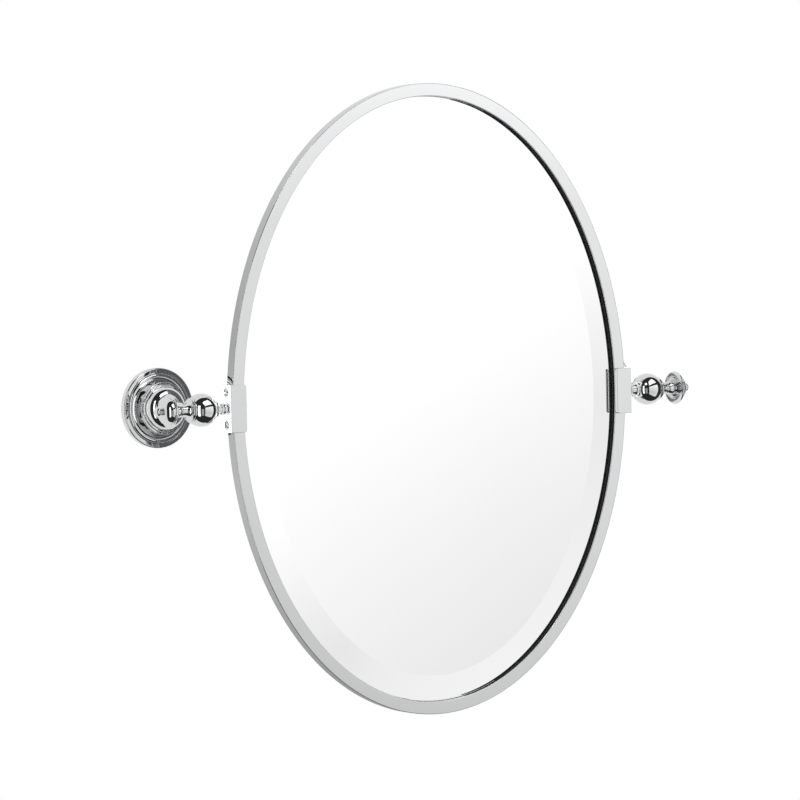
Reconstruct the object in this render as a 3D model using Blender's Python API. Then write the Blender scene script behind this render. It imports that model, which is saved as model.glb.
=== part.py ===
"""Oval tilting wall mirror on two turned brackets.

Origin: on the wall, midway between the brackets, at the height of the tilt axis.
X runs along the tilt axis, Y goes into the wall (the mirror faces -Y), Z is up.
Everything is in metres.
"""

from math import cos, pi, sin, sqrt

import bmesh
import bpy
from mathutils import Matrix, Vector

# ---------------------------------------------------------------- driving dimensions
MIRROR_WIDTH = 0.408          # outside of the frame, across
MIRROR_HEIGHT = 0.542         # outside of the frame, up
BRACKET_SPACING = 0.464       # between the centres of the two balls
WALL_TO_AXIS = 0.0733         # wall to the tilt axis
SEAT_GAP = 0.0003             # between two pieces that touch

# oval frame, a rolled section open at the back
FRAME_FACE = 0.011            # width of its front face
FRAME_DEPTH = 0.010
FRAME_LIP = 0.0032            # thickness of the lip in front of the glass
LIP_OVERLAP = 0.003           # how far the lip reaches over the glass
FRAME_WALL = 0.0015           # outer wall, and wall beside the glass
FRAME_WEB = 0.0018            # front web over the open channel
FRAME_SPLIT = 0.0005          # butt joint of the rolled hoop
AXIS_DEPTH = 0.0052           # tilt axis behind the frame's front face

# glass, seal and backing board
SEAL_THICKNESS = 0.0006
GLASS_THICKNESS = 0.005
BEVEL_WIDTH = 0.025
BEVEL_DROP = 0.0023
BOARD_THICKNESS = 0.0024

# spring clips that hold the board
CLIP_COUNT = 6
CLIP_LENGTH = 0.014
CLIP_SHEET = 0.0006
CLIP_REACH = 0.008            # how far the tab lies over the board
CLIP_LEG = 0.005

# clamps at the two sides of the frame
CLAMP_HEIGHT = 0.040
CLAMP_FRONT = 0.0034
CLAMP_SIDE = 0.0038
CLAMP_REAR = 0.0036
CLAMP_CORNER = 0.0025
SCREW_SPACING = 0.0274
SCREW_RADIUS = 0.0025
SCREW_HEAD_RADIUS = 0.0047
SCREW_HEAD_HEIGHT = 0.0024
SLOT_WIDTH = 0.0012
SLOT_DEPTH = 0.001
STRAP_HEIGHT = 0.036

# tilt pivot
PIN_RADIUS = 0.003
BOSS_RADIUS = 0.0053
BOSS_LENGTH = 0.0037
WASHER_RADIUS = 0.0048
WASHER_THICKNESS = 0.001

# ball and the turned pieces on its two sides
BALL_RADIUS = 0.014           # or more, where its collars need the room
SPIGOT_RADIUS = 0.004
SPIGOT_LENGTH = 0.005
COLLAR_THICKNESS = 0.0014
INNER_COLLAR_RADIUS = 0.0074
STEM_RADIUS = 0.0045
OUTER_COLLAR_RADIUS = 0.0105
NECK_RADIUS = 0.0049
NECK_LENGTH = 0.0082          # from the collar to the narrowest place
BEAD_RADIUS = 0.0062
BEAD_LENGTH = 0.0085
DISC_RADIUS = 0.0145
DISC_RIM = 0.002
DISH_DEPTH = 0.0012           # how far the disc's rim reaches back over the bead
DOME_DEPTH = 0.0077
FINIAL_RADIUS = 0.0041
FINIAL_LENGTH = 0.0055

# post between the ball and the wall flange
POST_COLLAR_RADIUS = 0.0078
POST_WAIST_RADIUS = 0.0052
POST_BELLY_RADIUS = 0.0070
POST_FOOT_RADIUS = 0.0100
POST_SPIGOT_RADIUS = 0.0057

# wall flange and the plate that it covers
FLANGE_RADIUS = 0.034
FLANGE_RIM_HEIGHT = 0.0056
FLANGE_HEIGHT = 0.024
FLANGE_WALL = 0.0024
DOME_STEP_RADII = (0.0222, 0.0202, 0.0183)
DOME_STEP_HEIGHT = 0.0016
DOME_START = 0.0125
PLATE_RADIUS = 0.029
PLATE_THICKNESS = 0.004
PLATE_BOSS_RADIUS = 0.009
PLATE_BOSS_HEIGHT = 0.015
WALL_SCREW_CIRCLE = 0.020     # radius of the circle with the two wall-screw holes
WALL_SCREW_RADIUS = 0.0024
GRUB_RADIUS = 0.0015
GRUB_HEIGHT = 0.0023          # of its axis above the wall

# facets
OVAL_STEPS = 64
ARC_STEPS = 3
BALL_STEPS = 8
FINE_SIDES = 28               # flanges
TURNED_SIDES = 20             # balls, discs and balusters
SMALL_SIDES = 16
PIN_SIDES = 12

SIDES = ((-1, "left"), (1, "right"))
SCREW_LEVELS = ((SCREW_SPACING / 2, "upper"), (-SCREW_SPACING / 2, "lower"))

# ---------------------------------------------------------------- derived places
SEMI_X = MIRROR_WIDTH / 2
SEMI_Z = MIRROR_HEIGHT / 2
GLASS_INSET = FRAME_FACE - LIP_OVERLAP + SEAT_GAP
SEAL_FRONT = FRAME_LIP + SEAT_GAP
GLASS_EDGE = SEAL_FRONT + SEAL_THICKNESS + SEAT_GAP
GLASS_FACE = GLASS_EDGE - BEVEL_DROP
GLASS_BACK = GLASS_FACE + GLASS_THICKNESS
BOARD_FRONT = GLASS_BACK + SEAT_GAP
BOARD_BACK = BOARD_FRONT + BOARD_THICKNESS
CLAMP_OUTSIDE = SEMI_X + SEAT_GAP + CLAMP_SIDE
BALL_TO_CLAMP = BRACKET_SPACING / 2 - CLAMP_OUTSIDE
BALL_OUTSIDE = max(BALL_RADIUS, sqrt(OUTER_COLLAR_RADIUS ** 2 + (POST_COLLAR_RADIUS + 2 * SEAT_GAP) ** 2))
BALL_FLAT_INNER = sqrt(BALL_OUTSIDE ** 2 - INNER_COLLAR_RADIUS ** 2) + SEAT_GAP
BALL_FLAT_OUTER = sqrt(BALL_OUTSIDE ** 2 - OUTER_COLLAR_RADIUS ** 2) + SEAT_GAP
BALL_FLAT_POST = sqrt(BALL_OUTSIDE ** 2 - POST_COLLAR_RADIUS ** 2) + SEAT_GAP
SPIGOT_BORE = SPIGOT_RADIUS + SEAT_GAP
INNER_SPIGOT_END = max(BALL_FLAT_INNER - SPIGOT_LENGTH, SPIGOT_BORE)
OUTER_SPIGOT_END = max(BALL_FLAT_OUTER - SPIGOT_LENGTH, SPIGOT_BORE)
PIN_BORE = PIN_RADIUS + SEAT_GAP
BOSS_START = BALL_TO_CLAMP - SEAT_GAP - BOSS_LENGTH
STEM_END = BOSS_START - 2 * SEAT_GAP - WASHER_THICKNESS


# ---------------------------------------------------------------- materials
def material(name, colour, roughness, metallic):
    made = bpy.data.materials.new(name)
    made.use_nodes = True
    shader = made.node_tree.nodes["Principled BSDF"]
    shader.inputs["Base Color"].default_value = (*colour, 1.0)
    shader.inputs["Roughness"].default_value = roughness
    shader.inputs["Metallic"].default_value = metallic
    return made


def finishes():
    return {
        "chrome": material("polished_chrome", (0.86, 0.87, 0.88), 0.05, 1.0),
        "steel": material("plain_steel", (0.55, 0.56, 0.57), 0.30, 1.0),
        "silvered_glass": material("silvered_glass", (0.93, 0.95, 0.95), 0.02, 1.0),
        "rubber": material("black_rubber", (0.03, 0.03, 0.03), 0.80, 0.0),
        "nylon": material("white_nylon", (0.80, 0.80, 0.77), 0.45, 0.0),
        "board": material("dark_board", (0.09, 0.09, 0.10), 0.85, 0.0),
        "casting": material("zinc_casting", (0.50, 0.51, 0.53), 0.45, 1.0),
    }


# ---------------------------------------------------------------- mesh helpers
def mesh_object(name, mesh, finish, parent):
    """Wrap a bmesh in a named object with one material."""
    bmesh.ops.recalc_face_normals(mesh, faces=mesh.faces)
    data = bpy.data.meshes.new(name)
    mesh.to_mesh(data)
    mesh.free()
    data.shade_smooth()
    data.set_sharp_from_angle(angle=pi / 6)
    data.materials.append(finish)
    made = bpy.data.objects.new(name, data)
    bpy.context.scene.collection.objects.link(made)
    made.parent = parent
    return made


def arc(centre, radius, start, end, steps=ARC_STEPS):
    """Points (r, h) on an arc of a turned outline, angles in turns from +r towards +h."""
    points = []
    for step in range(steps + 1):
        angle = 2 * pi * (start + (end - start) * step / steps)
        points.append((centre[0] + radius[0] * cos(angle), centre[1] + radius[1] * sin(angle)))
    return points


def turned(name, outline, finish, parent, segments, place=Matrix()):
    """Turn a closed outline of (radius, height) about local Z. A zero radius makes a pole."""
    mesh = bmesh.new()
    rings = []
    for radius, height in outline:
        if radius == 0:
            rings.append([mesh.verts.new(place @ Vector((0, 0, height)))])
            continue
        ring = []
        for step in range(segments):
            angle = 2 * pi * step / segments
            point = Vector((radius * cos(angle), radius * sin(angle), height))
            ring.append(mesh.verts.new(place @ point))
        rings.append(ring)
    for index, ring in enumerate(rings):
        following = rings[(index + 1) % len(rings)]
        for step in range(segments):
            after = (step + 1) % segments
            if len(ring) == 1 and len(following) == 1:
                break
            if len(ring) == 1:
                mesh.faces.new((ring[0], following[after], following[step]))
            elif len(following) == 1:
                mesh.faces.new((ring[step], ring[after], following[0]))
            else:
                mesh.faces.new((ring[step], ring[after], following[after], following[step]))
    return mesh_object(name, mesh, finish, parent)


def oval(inset, depth, turn):
    """A point of the curve that runs parallel to the frame's outside, inset inwards."""
    angle = 2 * pi * turn
    x = SEMI_X * cos(angle)
    z = SEMI_Z * sin(angle)
    normal = Vector((x / SEMI_X ** 2, 0, z / SEMI_Z ** 2)).normalized()
    return Vector((x, depth - AXIS_DEPTH, z)) - inset * normal


def oval_loops(mesh, outline, turns):
    return [[mesh.verts.new(oval(inset, depth, turn)) for turn in turns] for inset, depth in outline]


def oval_disc(name, outline, finish, parent):
    """A closed oval plate: the outline goes from its front centre face to its back centre face."""
    mesh = bmesh.new()
    turns = [step / OVAL_STEPS for step in range(OVAL_STEPS)]
    loops = oval_loops(mesh, outline, turns)
    for loop, following in zip(loops, loops[1:]):
        for step in range(OVAL_STEPS):
            after = (step + 1) % OVAL_STEPS
            mesh.faces.new((loop[step], loop[after], following[after], following[step]))
    mesh.faces.new(loops[0])
    mesh.faces.new(loops[-1])
    return mesh_object(name, mesh, finish, parent)


def oval_hoop(name, outline, finish, parent, split=0.0):
    """Sweep a closed section around the oval; a split leaves a gap at the right side."""
    mesh = bmesh.new()
    gap = split / (2 * pi * SEMI_Z)
    turns = [step / OVAL_STEPS for step in range(OVAL_STEPS)]
    if split:
        turns[0] = gap / 2
        turns.append(1 - gap / 2)
    loops = oval_loops(mesh, outline, turns)
    spans = len(turns) - 1 if split else len(turns)
    for index, loop in enumerate(loops):
        following = loops[(index + 1) % len(loops)]
        for step in range(spans):
            after = (step + 1) % len(turns)
            mesh.faces.new((loop[step], loop[after], following[after], following[step]))
    if split:
        mesh.faces.new([loop[0] for loop in loops])
        mesh.faces.new([loop[-1] for loop in loops])
    return mesh_object(name, mesh, finish, parent)


def extruded(name, outline, length, finish, parent, place=Matrix(), corners=None, corner_radius=0.0):
    """Extrude an (x, y) outline by length, centred on local Z.

    corners says which of the edges that run in the outline's plane are rounded.
    """
    mesh = bmesh.new()
    bottom = [mesh.verts.new((x, y, -length / 2)) for x, y in outline]
    face = mesh.faces.new(bottom)
    made = bmesh.ops.extrude_face_region(mesh, geom=[face])
    moved = [item for item in made["geom"] if isinstance(item, bmesh.types.BMVert)]
    bmesh.ops.translate(mesh, verts=moved, vec=(0, 0, length))
    if corners:
        rounded = [edge for edge in mesh.edges if corners(*[vert.co for vert in edge.verts])]
        bmesh.ops.bevel(mesh, geom=rounded, offset=corner_radius, segments=3, affect="EDGES",
                        profile=0.5, clamp_overlap=True)
    bmesh.ops.transform(mesh, matrix=place, verts=mesh.verts)
    return mesh_object(name, mesh, finish, parent)


def cut(target, cutter):
    """Cut a turned or extruded guide out of a piece."""
    cutter.hide_render = True
    cutter.display_type = "WIRE"
    modifier = target.modifiers.new("cut_" + cutter.name, "BOOLEAN")
    modifier.operation = "DIFFERENCE"
    modifier.solver = "EXACT"
    modifier.object = cutter


def rod(name, radius, start, end, finish, parent, place, segments=SMALL_SIDES):
    """A plain rod along local Z, used for pins and for cutters."""
    outline = [(0, start), (radius, start), (radius, end), (0, end)]
    return turned(name, outline, finish, parent, segments, place)


# ---------------------------------------------------------------- frames of reference
def outwards(x, side, z=0.0):
    """Local Z points away from the mirror's middle, from the point (side * x, 0, z)."""
    return Matrix.Translation((side * x, 0, z)) @ Matrix.Rotation(side * pi / 2, 4, "Y")


TO_WALL = Matrix.Rotation(-pi / 2, 4, "X")
FROM_WALL = Matrix.Translation((0, WALL_TO_AXIS, 0)) @ Matrix.Rotation(pi / 2, 4, "X")


# ---------------------------------------------------------------- mirror
def frame_section():
    """The rolled section: front face and lip, with a channel that is open at the back."""
    rebate = FRAME_FACE - LIP_OVERLAP
    return [
        (0.0, 0.0),
        (FRAME_FACE, 0.0),
        (FRAME_FACE, FRAME_LIP),
        (rebate, FRAME_LIP),
        (rebate, FRAME_DEPTH),
        (rebate - FRAME_WALL, FRAME_DEPTH),
        (rebate - FRAME_WALL, FRAME_WEB),
        (FRAME_WALL, FRAME_WEB),
        (FRAME_WALL, FRAME_DEPTH),
        (0.0, FRAME_DEPTH),
    ]


def frame_ring(parent, finish):
    ring = oval_hoop("frame_ring", frame_section(), finish["chrome"], parent, FRAME_SPLIT)
    for side, word in SIDES:
        for z, level in SCREW_LEVELS:
            cut(ring, rod(f"guide_{word}_{level}_frame_hole", SCREW_RADIUS + SEAT_GAP,
                          -2 * FRAME_WALL, FRAME_WALL, finish["steel"], parent, outwards(SEMI_X, side, z)))


def mirror_glass(parent, finish):
    outline = [
        (GLASS_INSET + BEVEL_WIDTH, GLASS_FACE),
        (GLASS_INSET, GLASS_EDGE),
        (GLASS_INSET, GLASS_BACK),
    ]
    oval_disc("mirror_glass", outline, finish["silvered_glass"], parent)


def glass_seal(parent, finish):
    inner = FRAME_FACE
    outline = [
        (GLASS_INSET, SEAL_FRONT),
        (inner, SEAL_FRONT),
        (inner, SEAL_FRONT + SEAL_THICKNESS),
        (GLASS_INSET, SEAL_FRONT + SEAL_THICKNESS),
    ]
    oval_hoop("glass_seal", outline, finish["rubber"], parent)


def backing_board(parent, finish):
    outline = [(GLASS_INSET, BOARD_FRONT), (GLASS_INSET, BOARD_BACK)]
    oval_disc("backing_board", outline, finish["board"], parent)


def board_clips(parent, finish):
    """Spring clips: a leg in the frame's channel, and a tab over the edge of the board."""
    wall = FRAME_FACE - LIP_OVERLAP - FRAME_WALL
    leg = wall - SEAT_GAP - CLIP_SHEET
    tab = max(FRAME_DEPTH, BOARD_BACK) + SEAT_GAP
    outline = [
        (leg, FRAME_DEPTH - CLIP_LEG),
        (leg, tab + CLIP_SHEET),
        (GLASS_INSET + CLIP_REACH, tab + CLIP_SHEET),
        (GLASS_INSET + CLIP_REACH, tab),
        (leg + CLIP_SHEET, tab),
        (leg + CLIP_SHEET, FRAME_DEPTH - CLIP_LEG),
    ]
    for number in range(CLIP_COUNT):
        turn = (number + 0.5) / CLIP_COUNT
        edge = oval(0.0, 0.0, turn)
        inward = (oval(1.0, 0.0, turn) - edge).normalized()
        back = Vector((0, 1, 0))
        place = Matrix.Translation(edge) @ Matrix((inward, back, inward.cross(back))).transposed().to_4x4()
        extruded(f"board_clip_{number + 1}", outline, CLIP_LENGTH, finish["steel"], parent, place)


def clamp(side, word, parent, finish):
    """A block that wraps the frame, bored for the pivot pin and for two countersunk screws."""
    inner = SEMI_X - FRAME_FACE - SEAT_GAP
    front = -SEAT_GAP - AXIS_DEPTH
    rear = FRAME_DEPTH + SEAT_GAP + CLIP_SHEET - AXIS_DEPTH
    outline = [
        (inner, front - CLAMP_FRONT),
        (CLAMP_OUTSIDE, front - CLAMP_FRONT),
        (CLAMP_OUTSIDE, rear + CLAMP_REAR),
        (inner, rear + CLAMP_REAR),
        (inner, rear),
        (SEMI_X + SEAT_GAP, rear),
        (SEMI_X + SEAT_GAP, front),
        (inner, front),
    ]
    outline = [(side * x, y) for x, y in outline]

    def inner_corner(first, second):
        at_end = abs(abs(first.x) - inner) < 1e-6 and abs(abs(second.x) - inner) < 1e-6
        return at_end and abs(first.z - second.z) < 1e-6

    block = extruded(f"{word}_clamp", outline, CLAMP_HEIGHT, finish["chrome"], parent,
                     corners=inner_corner, corner_radius=CLAMP_CORNER)
    bore = rod(f"guide_{word}_clamp_bore", PIN_BORE, -2 * CLAMP_SIDE, CLAMP_SIDE, finish["steel"], parent,
               outwards(CLAMP_OUTSIDE, side))
    cut(block, bore)
    for z, level in SCREW_LEVELS:
        sink = turned(f"guide_{word}_{level}_sink", screw_outline(2 * CLAMP_SIDE, SEAT_GAP), finish["steel"],
                      parent, SMALL_SIDES, outwards(CLAMP_OUTSIDE, side, z))
        cut(block, sink)


def screw_outline(length, clearance=0.0):
    """A countersunk head whose top is at local Z = 0, with its shank towards -Z."""
    shank = SCREW_RADIUS + clearance
    head = SCREW_HEAD_RADIUS + clearance
    outline = [(0, -length), (shank, -length), (shank, -SCREW_HEAD_HEIGHT), (head, 0.0)]
    if clearance:
        outline.append((head, clearance))
    outline.append((0, outline[-1][1]))
    return outline


def clamp_screws(side, word, parent, finish):
    """Two slotted screws through the clamp and the frame into the strap in the channel."""
    strap_back = SEMI_X - (FRAME_FACE - LIP_OVERLAP - FRAME_WALL) + 2 * SEAT_GAP
    length = CLAMP_OUTSIDE - strap_back
    for z, level, turn in ((SCREW_SPACING / 2, "upper", 0.27), (-SCREW_SPACING / 2, "lower", 0.15)):
        place = outwards(CLAMP_OUTSIDE, side, z)
        name = f"{word}_clamp_screw_{level}"
        screw = turned(name, screw_outline(length), finish["chrome"], parent, SMALL_SIDES, place)
        reach = 2 * SCREW_HEAD_RADIUS
        half = SLOT_WIDTH / 2
        outline = [(-reach, -half), (reach, -half), (reach, half), (-reach, half)]
        slot_place = place @ Matrix.Rotation(2 * pi * turn, 4, "Z")
        cut(screw, extruded(f"guide_{name}_slot", outline, 2 * SLOT_DEPTH, finish["steel"], parent,
                            slot_place))


def joint_strap(side, word, parent, finish):
    """The tapped strap that lies in the frame's channel behind a clamp."""
    sagitta = SEMI_X * (1 - sqrt(1 - (STRAP_HEIGHT / 2 / SEMI_Z) ** 2))
    outer = SEMI_X - FRAME_WALL - SEAT_GAP - sagitta
    inner = SEMI_X - (FRAME_FACE - LIP_OVERLAP - FRAME_WALL) + SEAT_GAP
    front = FRAME_WEB + SEAT_GAP - AXIS_DEPTH
    back = FRAME_DEPTH - SEAT_GAP - AXIS_DEPTH
    outline = [(side * x, y) for x, y in ((inner, front), (outer, front), (outer, back), (inner, back))]
    strap = extruded(f"{word}_joint_strap", outline, STRAP_HEIGHT, finish["steel"], parent)
    for z, level in SCREW_LEVELS:
        hole = rod(f"guide_{word}_{level}_strap_hole", SCREW_RADIUS + SEAT_GAP, -2 * FRAME_FACE, 0.0,
                   finish["steel"], parent, outwards(SEMI_X, side, z))
        cut(strap, hole)


def pivot_boss(side, word, parent, finish):
    """The small bead on the clamp that turns on the pivot pin."""
    bulge = (COLLAR_THICKNESS / 2, BOSS_LENGTH / 2)
    outline = [(PIN_BORE, BOSS_LENGTH), (PIN_BORE, 0.0)]
    outline += arc((BOSS_RADIUS - bulge[0], bulge[1]), bulge, -0.25, 0.25)
    turned(f"{word}_pivot_boss", outline, finish["chrome"], parent, SMALL_SIDES,
           outwards(CLAMP_OUTSIDE + SEAT_GAP, side))


# ---------------------------------------------------------------- bracket
def ball(side, word, parent, finish):
    """A ball with a flat and a bore for each of the three pieces that screw into it."""
    outline = [(SPIGOT_BORE, -BALL_FLAT_INNER)]
    for step in range(BALL_STEPS + 1):
        height = -BALL_FLAT_INNER + (BALL_FLAT_OUTER + BALL_FLAT_INNER) * step / BALL_STEPS
        outline.append((sqrt(BALL_OUTSIDE ** 2 - height ** 2), height))
    outline.append((SPIGOT_BORE, BALL_FLAT_OUTER))
    made = turned(f"{word}_ball", outline, finish["chrome"], parent, TURNED_SIDES, outwards(0, side))
    cut(made, rod(f"guide_{word}_ball_flat", POST_COLLAR_RADIUS + SEAT_GAP, BALL_FLAT_POST, BALL_OUTSIDE * 2,
                  finish["steel"], parent, TO_WALL, TURNED_SIDES))
    cut(made, rod(f"guide_{word}_ball_bore", SPIGOT_BORE, 0.0, BALL_OUTSIDE * 2,
                  finish["steel"], parent, TO_WALL))


def inner_neck(side, word, parent, finish):
    """Collar and stem between the ball and the mirror, bored for the pivot pin."""
    seat = BALL_FLAT_INNER + SEAT_GAP
    shoulder = seat + COLLAR_THICKNESS
    outline = [
        (PIN_BORE, INNER_SPIGOT_END),
        (SPIGOT_RADIUS, INNER_SPIGOT_END),
        (SPIGOT_RADIUS, seat),
        (INNER_COLLAR_RADIUS, seat),
        (INNER_COLLAR_RADIUS, shoulder),
        (STEM_RADIUS, shoulder + COLLAR_THICKNESS / 2),
        (STEM_RADIUS, STEM_END),
        (PIN_BORE, STEM_END),
    ]
    turned(f"{word}_inner_neck", outline, finish["chrome"], parent, SMALL_SIDES, outwards(0, -side))


def pivot_pin(side, word, parent, finish):
    start = INNER_SPIGOT_END
    end = BALL_TO_CLAMP + CLAMP_SIDE - SEAT_GAP
    rod(f"{word}_pivot_pin", PIN_RADIUS, start, end, finish["steel"], parent, outwards(0, -side), PIN_SIDES)


def friction_washer(side, word, parent, finish):
    start = STEM_END + SEAT_GAP
    outline = [
        (PIN_BORE, start),
        (WASHER_RADIUS, start),
        (WASHER_RADIUS, start + WASHER_THICKNESS),
        (PIN_BORE, start + WASHER_THICKNESS),
    ]
    turned(f"{word}_friction_washer", outline, finish["nylon"], parent, SMALL_SIDES, outwards(0, -side))


def baluster_places():
    """Where the outer baluster's collar, neck, bead and end lie, outwards from the ball's centre."""
    collar = BALL_FLAT_OUTER + SEAT_GAP
    neck = collar + COLLAR_THICKNESS + NECK_LENGTH
    bead = neck + STEM_RADIUS / 2
    return collar, neck, bead, bead + BEAD_LENGTH


def outer_baluster(side, word, parent, finish):
    """Collar, hollow cone, neck and bead on the outer side of the ball."""
    collar, neck, bead, end = baluster_places()
    outline = [
        (0, OUTER_SPIGOT_END),
        (SPIGOT_RADIUS, OUTER_SPIGOT_END),
        (SPIGOT_RADIUS, collar),
        (OUTER_COLLAR_RADIUS, collar),
        (OUTER_COLLAR_RADIUS, collar + COLLAR_THICKNESS),
    ]
    hollow = (OUTER_COLLAR_RADIUS - COLLAR_THICKNESS - NECK_RADIUS, NECK_LENGTH)
    outline += arc((NECK_RADIUS + hollow[0], neck), hollow, 0.75, 0.5)
    outline += arc((NECK_RADIUS, bead + BEAD_LENGTH / 2),
                   (BEAD_RADIUS - NECK_RADIUS, BEAD_LENGTH / 2), -0.25, 0.25, 6)
    outline += [
        (SPIGOT_RADIUS / 2, end),
        (SPIGOT_RADIUS / 2, end + SPIGOT_LENGTH / 2),
        (0, end + SPIGOT_LENGTH / 2),
    ]
    turned(f"{word}_outer_baluster", outline, finish["chrome"], parent, TURNED_SIDES, outwards(0, side))


def disc_places():
    """Where the end disc starts, where its rim and its dome lie, and where it ends."""
    start = baluster_places()[3] + SEAT_GAP
    rim = start - DISH_DEPTH
    return start, rim, rim + DISC_RIM, rim + DISC_RIM + DOME_DEPTH


def end_disc(side, word, parent, finish):
    """Dished disc with a stepped dome, bored for the baluster's and the finial's spigots."""
    start, rim, step, end = disc_places()
    bore = SPIGOT_RADIUS / 2 + SEAT_GAP
    outline = [(bore, start), (BEAD_RADIUS + COLLAR_THICKNESS, start)]
    outline += [
        (DISC_RADIUS - COLLAR_THICKNESS, rim),
        (DISC_RADIUS, rim),
        (DISC_RADIUS, step),
        (DISC_RADIUS - COLLAR_THICKNESS, step),
    ]
    dome_start = step + DISC_RIM / 2
    dome = (DISC_RADIUS - 2 * COLLAR_THICKNESS - FINIAL_RADIUS, end - dome_start)
    outline += arc((FINIAL_RADIUS, dome_start), dome, 0.0, 0.25, 5)
    outline.append((bore, end))
    turned(f"{word}_end_disc", outline, finish["chrome"], parent, TURNED_SIDES, outwards(0, side))


def finial(side, word, parent, finish):
    end = disc_places()[3]
    seat = end + SEAT_GAP
    outline = [
        (0, end - SPIGOT_LENGTH / 2),
        (SPIGOT_RADIUS / 2, end - SPIGOT_LENGTH / 2),
        (SPIGOT_RADIUS / 2, seat),
        (FINIAL_RADIUS / 2, seat),
    ]
    outline += arc((0, seat + FINIAL_LENGTH / 2), (FINIAL_RADIUS, FINIAL_LENGTH / 2), -0.1, 0.25, 6)[:-1]
    outline.append((0, seat + FINIAL_LENGTH))
    turned(f"{word}_finial", outline, finish["chrome"], parent, SMALL_SIDES, outwards(0, side))


def post(side, word, parent, finish):
    """Turned post from the wall plate to the ball, heights from the wall."""
    top = WALL_TO_AXIS - BALL_FLAT_POST - SEAT_GAP
    foot = FLANGE_HEIGHT + SEAT_GAP
    outline = [
        (0, PLATE_THICKNESS + SEAT_GAP),
        (POST_SPIGOT_RADIUS, PLATE_THICKNESS + SEAT_GAP),
        (POST_SPIGOT_RADIUS, foot),
        (POST_FOOT_RADIUS, foot),
        (POST_FOOT_RADIUS, foot + COLLAR_THICKNESS),
    ]
    collar = top - COLLAR_THICKNESS
    rise = (collar - foot) / 4
    outline += [
        (POST_BELLY_RADIUS, foot + COLLAR_THICKNESS + rise / 4),
        (POST_BELLY_RADIUS, foot + 2 * rise),
        (POST_WAIST_RADIUS, foot + 3 * rise),
        (POST_COLLAR_RADIUS - COLLAR_THICKNESS, collar),
        (POST_COLLAR_RADIUS, collar),
        (POST_COLLAR_RADIUS, top),
        (SPIGOT_RADIUS, top),
        (SPIGOT_RADIUS, top + SPIGOT_LENGTH),
        (0, top + SPIGOT_LENGTH),
    ]
    turned(f"{word}_post", outline, finish["chrome"], parent, SMALL_SIDES, FROM_WALL)


def flange_outside():
    """The flange's outer outline, from its rim at the wall to the top of its dome."""
    bead_outer = FLANGE_RADIUS - FLANGE_WALL
    bead_width = FLANGE_WALL * 2
    cove_foot = bead_outer - bead_width
    outline = [
        (FLANGE_RADIUS, 0.0),
        (FLANGE_RADIUS, FLANGE_RIM_HEIGHT - COLLAR_THICKNESS),
        (bead_outer, FLANGE_RIM_HEIGHT),
    ]
    bead = (bead_width / 2, COLLAR_THICKNESS)
    outline += arc((bead_outer - bead_width / 2, FLANGE_RIM_HEIGHT), bead, 0, 0.5)
    cove = (cove_foot - DOME_STEP_RADII[0], DOME_START - FLANGE_RIM_HEIGHT)
    outline += arc((cove_foot, DOME_START), cove, 0.75, 0.5, 3)[1:]
    height = DOME_START
    for radius, following in zip(DOME_STEP_RADII, DOME_STEP_RADII[1:]):
        height += DOME_STEP_HEIGHT
        outline += [(radius, height), (following, height)]
    dome = (DOME_STEP_RADII[-1] - POST_FOOT_RADIUS, FLANGE_HEIGHT - height)
    outline += arc((POST_FOOT_RADIUS, height), dome, 0.0, 0.25)
    return outline


def wall_flange(side, word, parent, finish):
    """Hollow stepped flange, open to the wall, with a hole for the post and for its grub screw."""
    bore = POST_SPIGOT_RADIUS + SEAT_GAP
    rim_inner = FLANGE_RADIUS - FLANGE_WALL
    cove_inner = DOME_STEP_RADII[0] - FLANGE_WALL
    outline = flange_outside() + [
        (bore, FLANGE_HEIGHT),
        (bore, FLANGE_HEIGHT - FLANGE_WALL),
        (POST_FOOT_RADIUS, FLANGE_HEIGHT - FLANGE_WALL * 1.3),
        (cove_inner - FLANGE_WALL, DOME_START + DOME_STEP_HEIGHT),
        (cove_inner, DOME_START - FLANGE_WALL / 2),
        (cove_inner, PLATE_THICKNESS + 2 * SEAT_GAP),
        (rim_inner, PLATE_THICKNESS + 2 * SEAT_GAP),
        (rim_inner, 0.0),
    ]
    made = turned(f"{word}_wall_flange", outline, finish["chrome"], parent, FINE_SIDES, FROM_WALL)
    place = Matrix.Translation((0, WALL_TO_AXIS - GRUB_HEIGHT, 0)) @ Matrix.Rotation(pi, 4, "X")
    cut(made, rod(f"guide_{word}_grub_hole", GRUB_RADIUS + SEAT_GAP, PLATE_RADIUS, FLANGE_RADIUS * 2,
                  finish["steel"], parent, place, PIN_SIDES))
    rod(f"{word}_flange_grub_screw", GRUB_RADIUS, PLATE_RADIUS + SEAT_GAP, FLANGE_RADIUS - SEAT_GAP,
        finish["steel"], parent, place, PIN_SIDES)


def wall_plate(side, word, parent, finish):
    """Fixing plate that is screwed to the wall, with a blind boss for the post."""
    bore = POST_SPIGOT_RADIUS + SEAT_GAP
    outline = [
        (0, 0.0),
        (PLATE_RADIUS, 0.0),
        (PLATE_RADIUS, PLATE_THICKNESS),
        (PLATE_BOSS_RADIUS, PLATE_THICKNESS),
        (PLATE_BOSS_RADIUS, PLATE_BOSS_HEIGHT),
        (bore, PLATE_BOSS_HEIGHT),
        (bore, PLATE_THICKNESS),
        (0, PLATE_THICKNESS),
    ]
    plate = turned(f"{word}_wall_plate", outline, finish["casting"], parent, TURNED_SIDES, FROM_WALL)
    for across, name in ((-WALL_SCREW_CIRCLE, "first"), (WALL_SCREW_CIRCLE, "second")):
        place = FROM_WALL @ Matrix.Translation((across, 0, 0))
        hole = rod(f"guide_{word}_{name}_wall_hole", WALL_SCREW_RADIUS, -PLATE_THICKNESS, 2 * PLATE_THICKNESS,
                   finish["steel"], parent, place, PIN_SIDES)
        cut(plate, hole)


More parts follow.
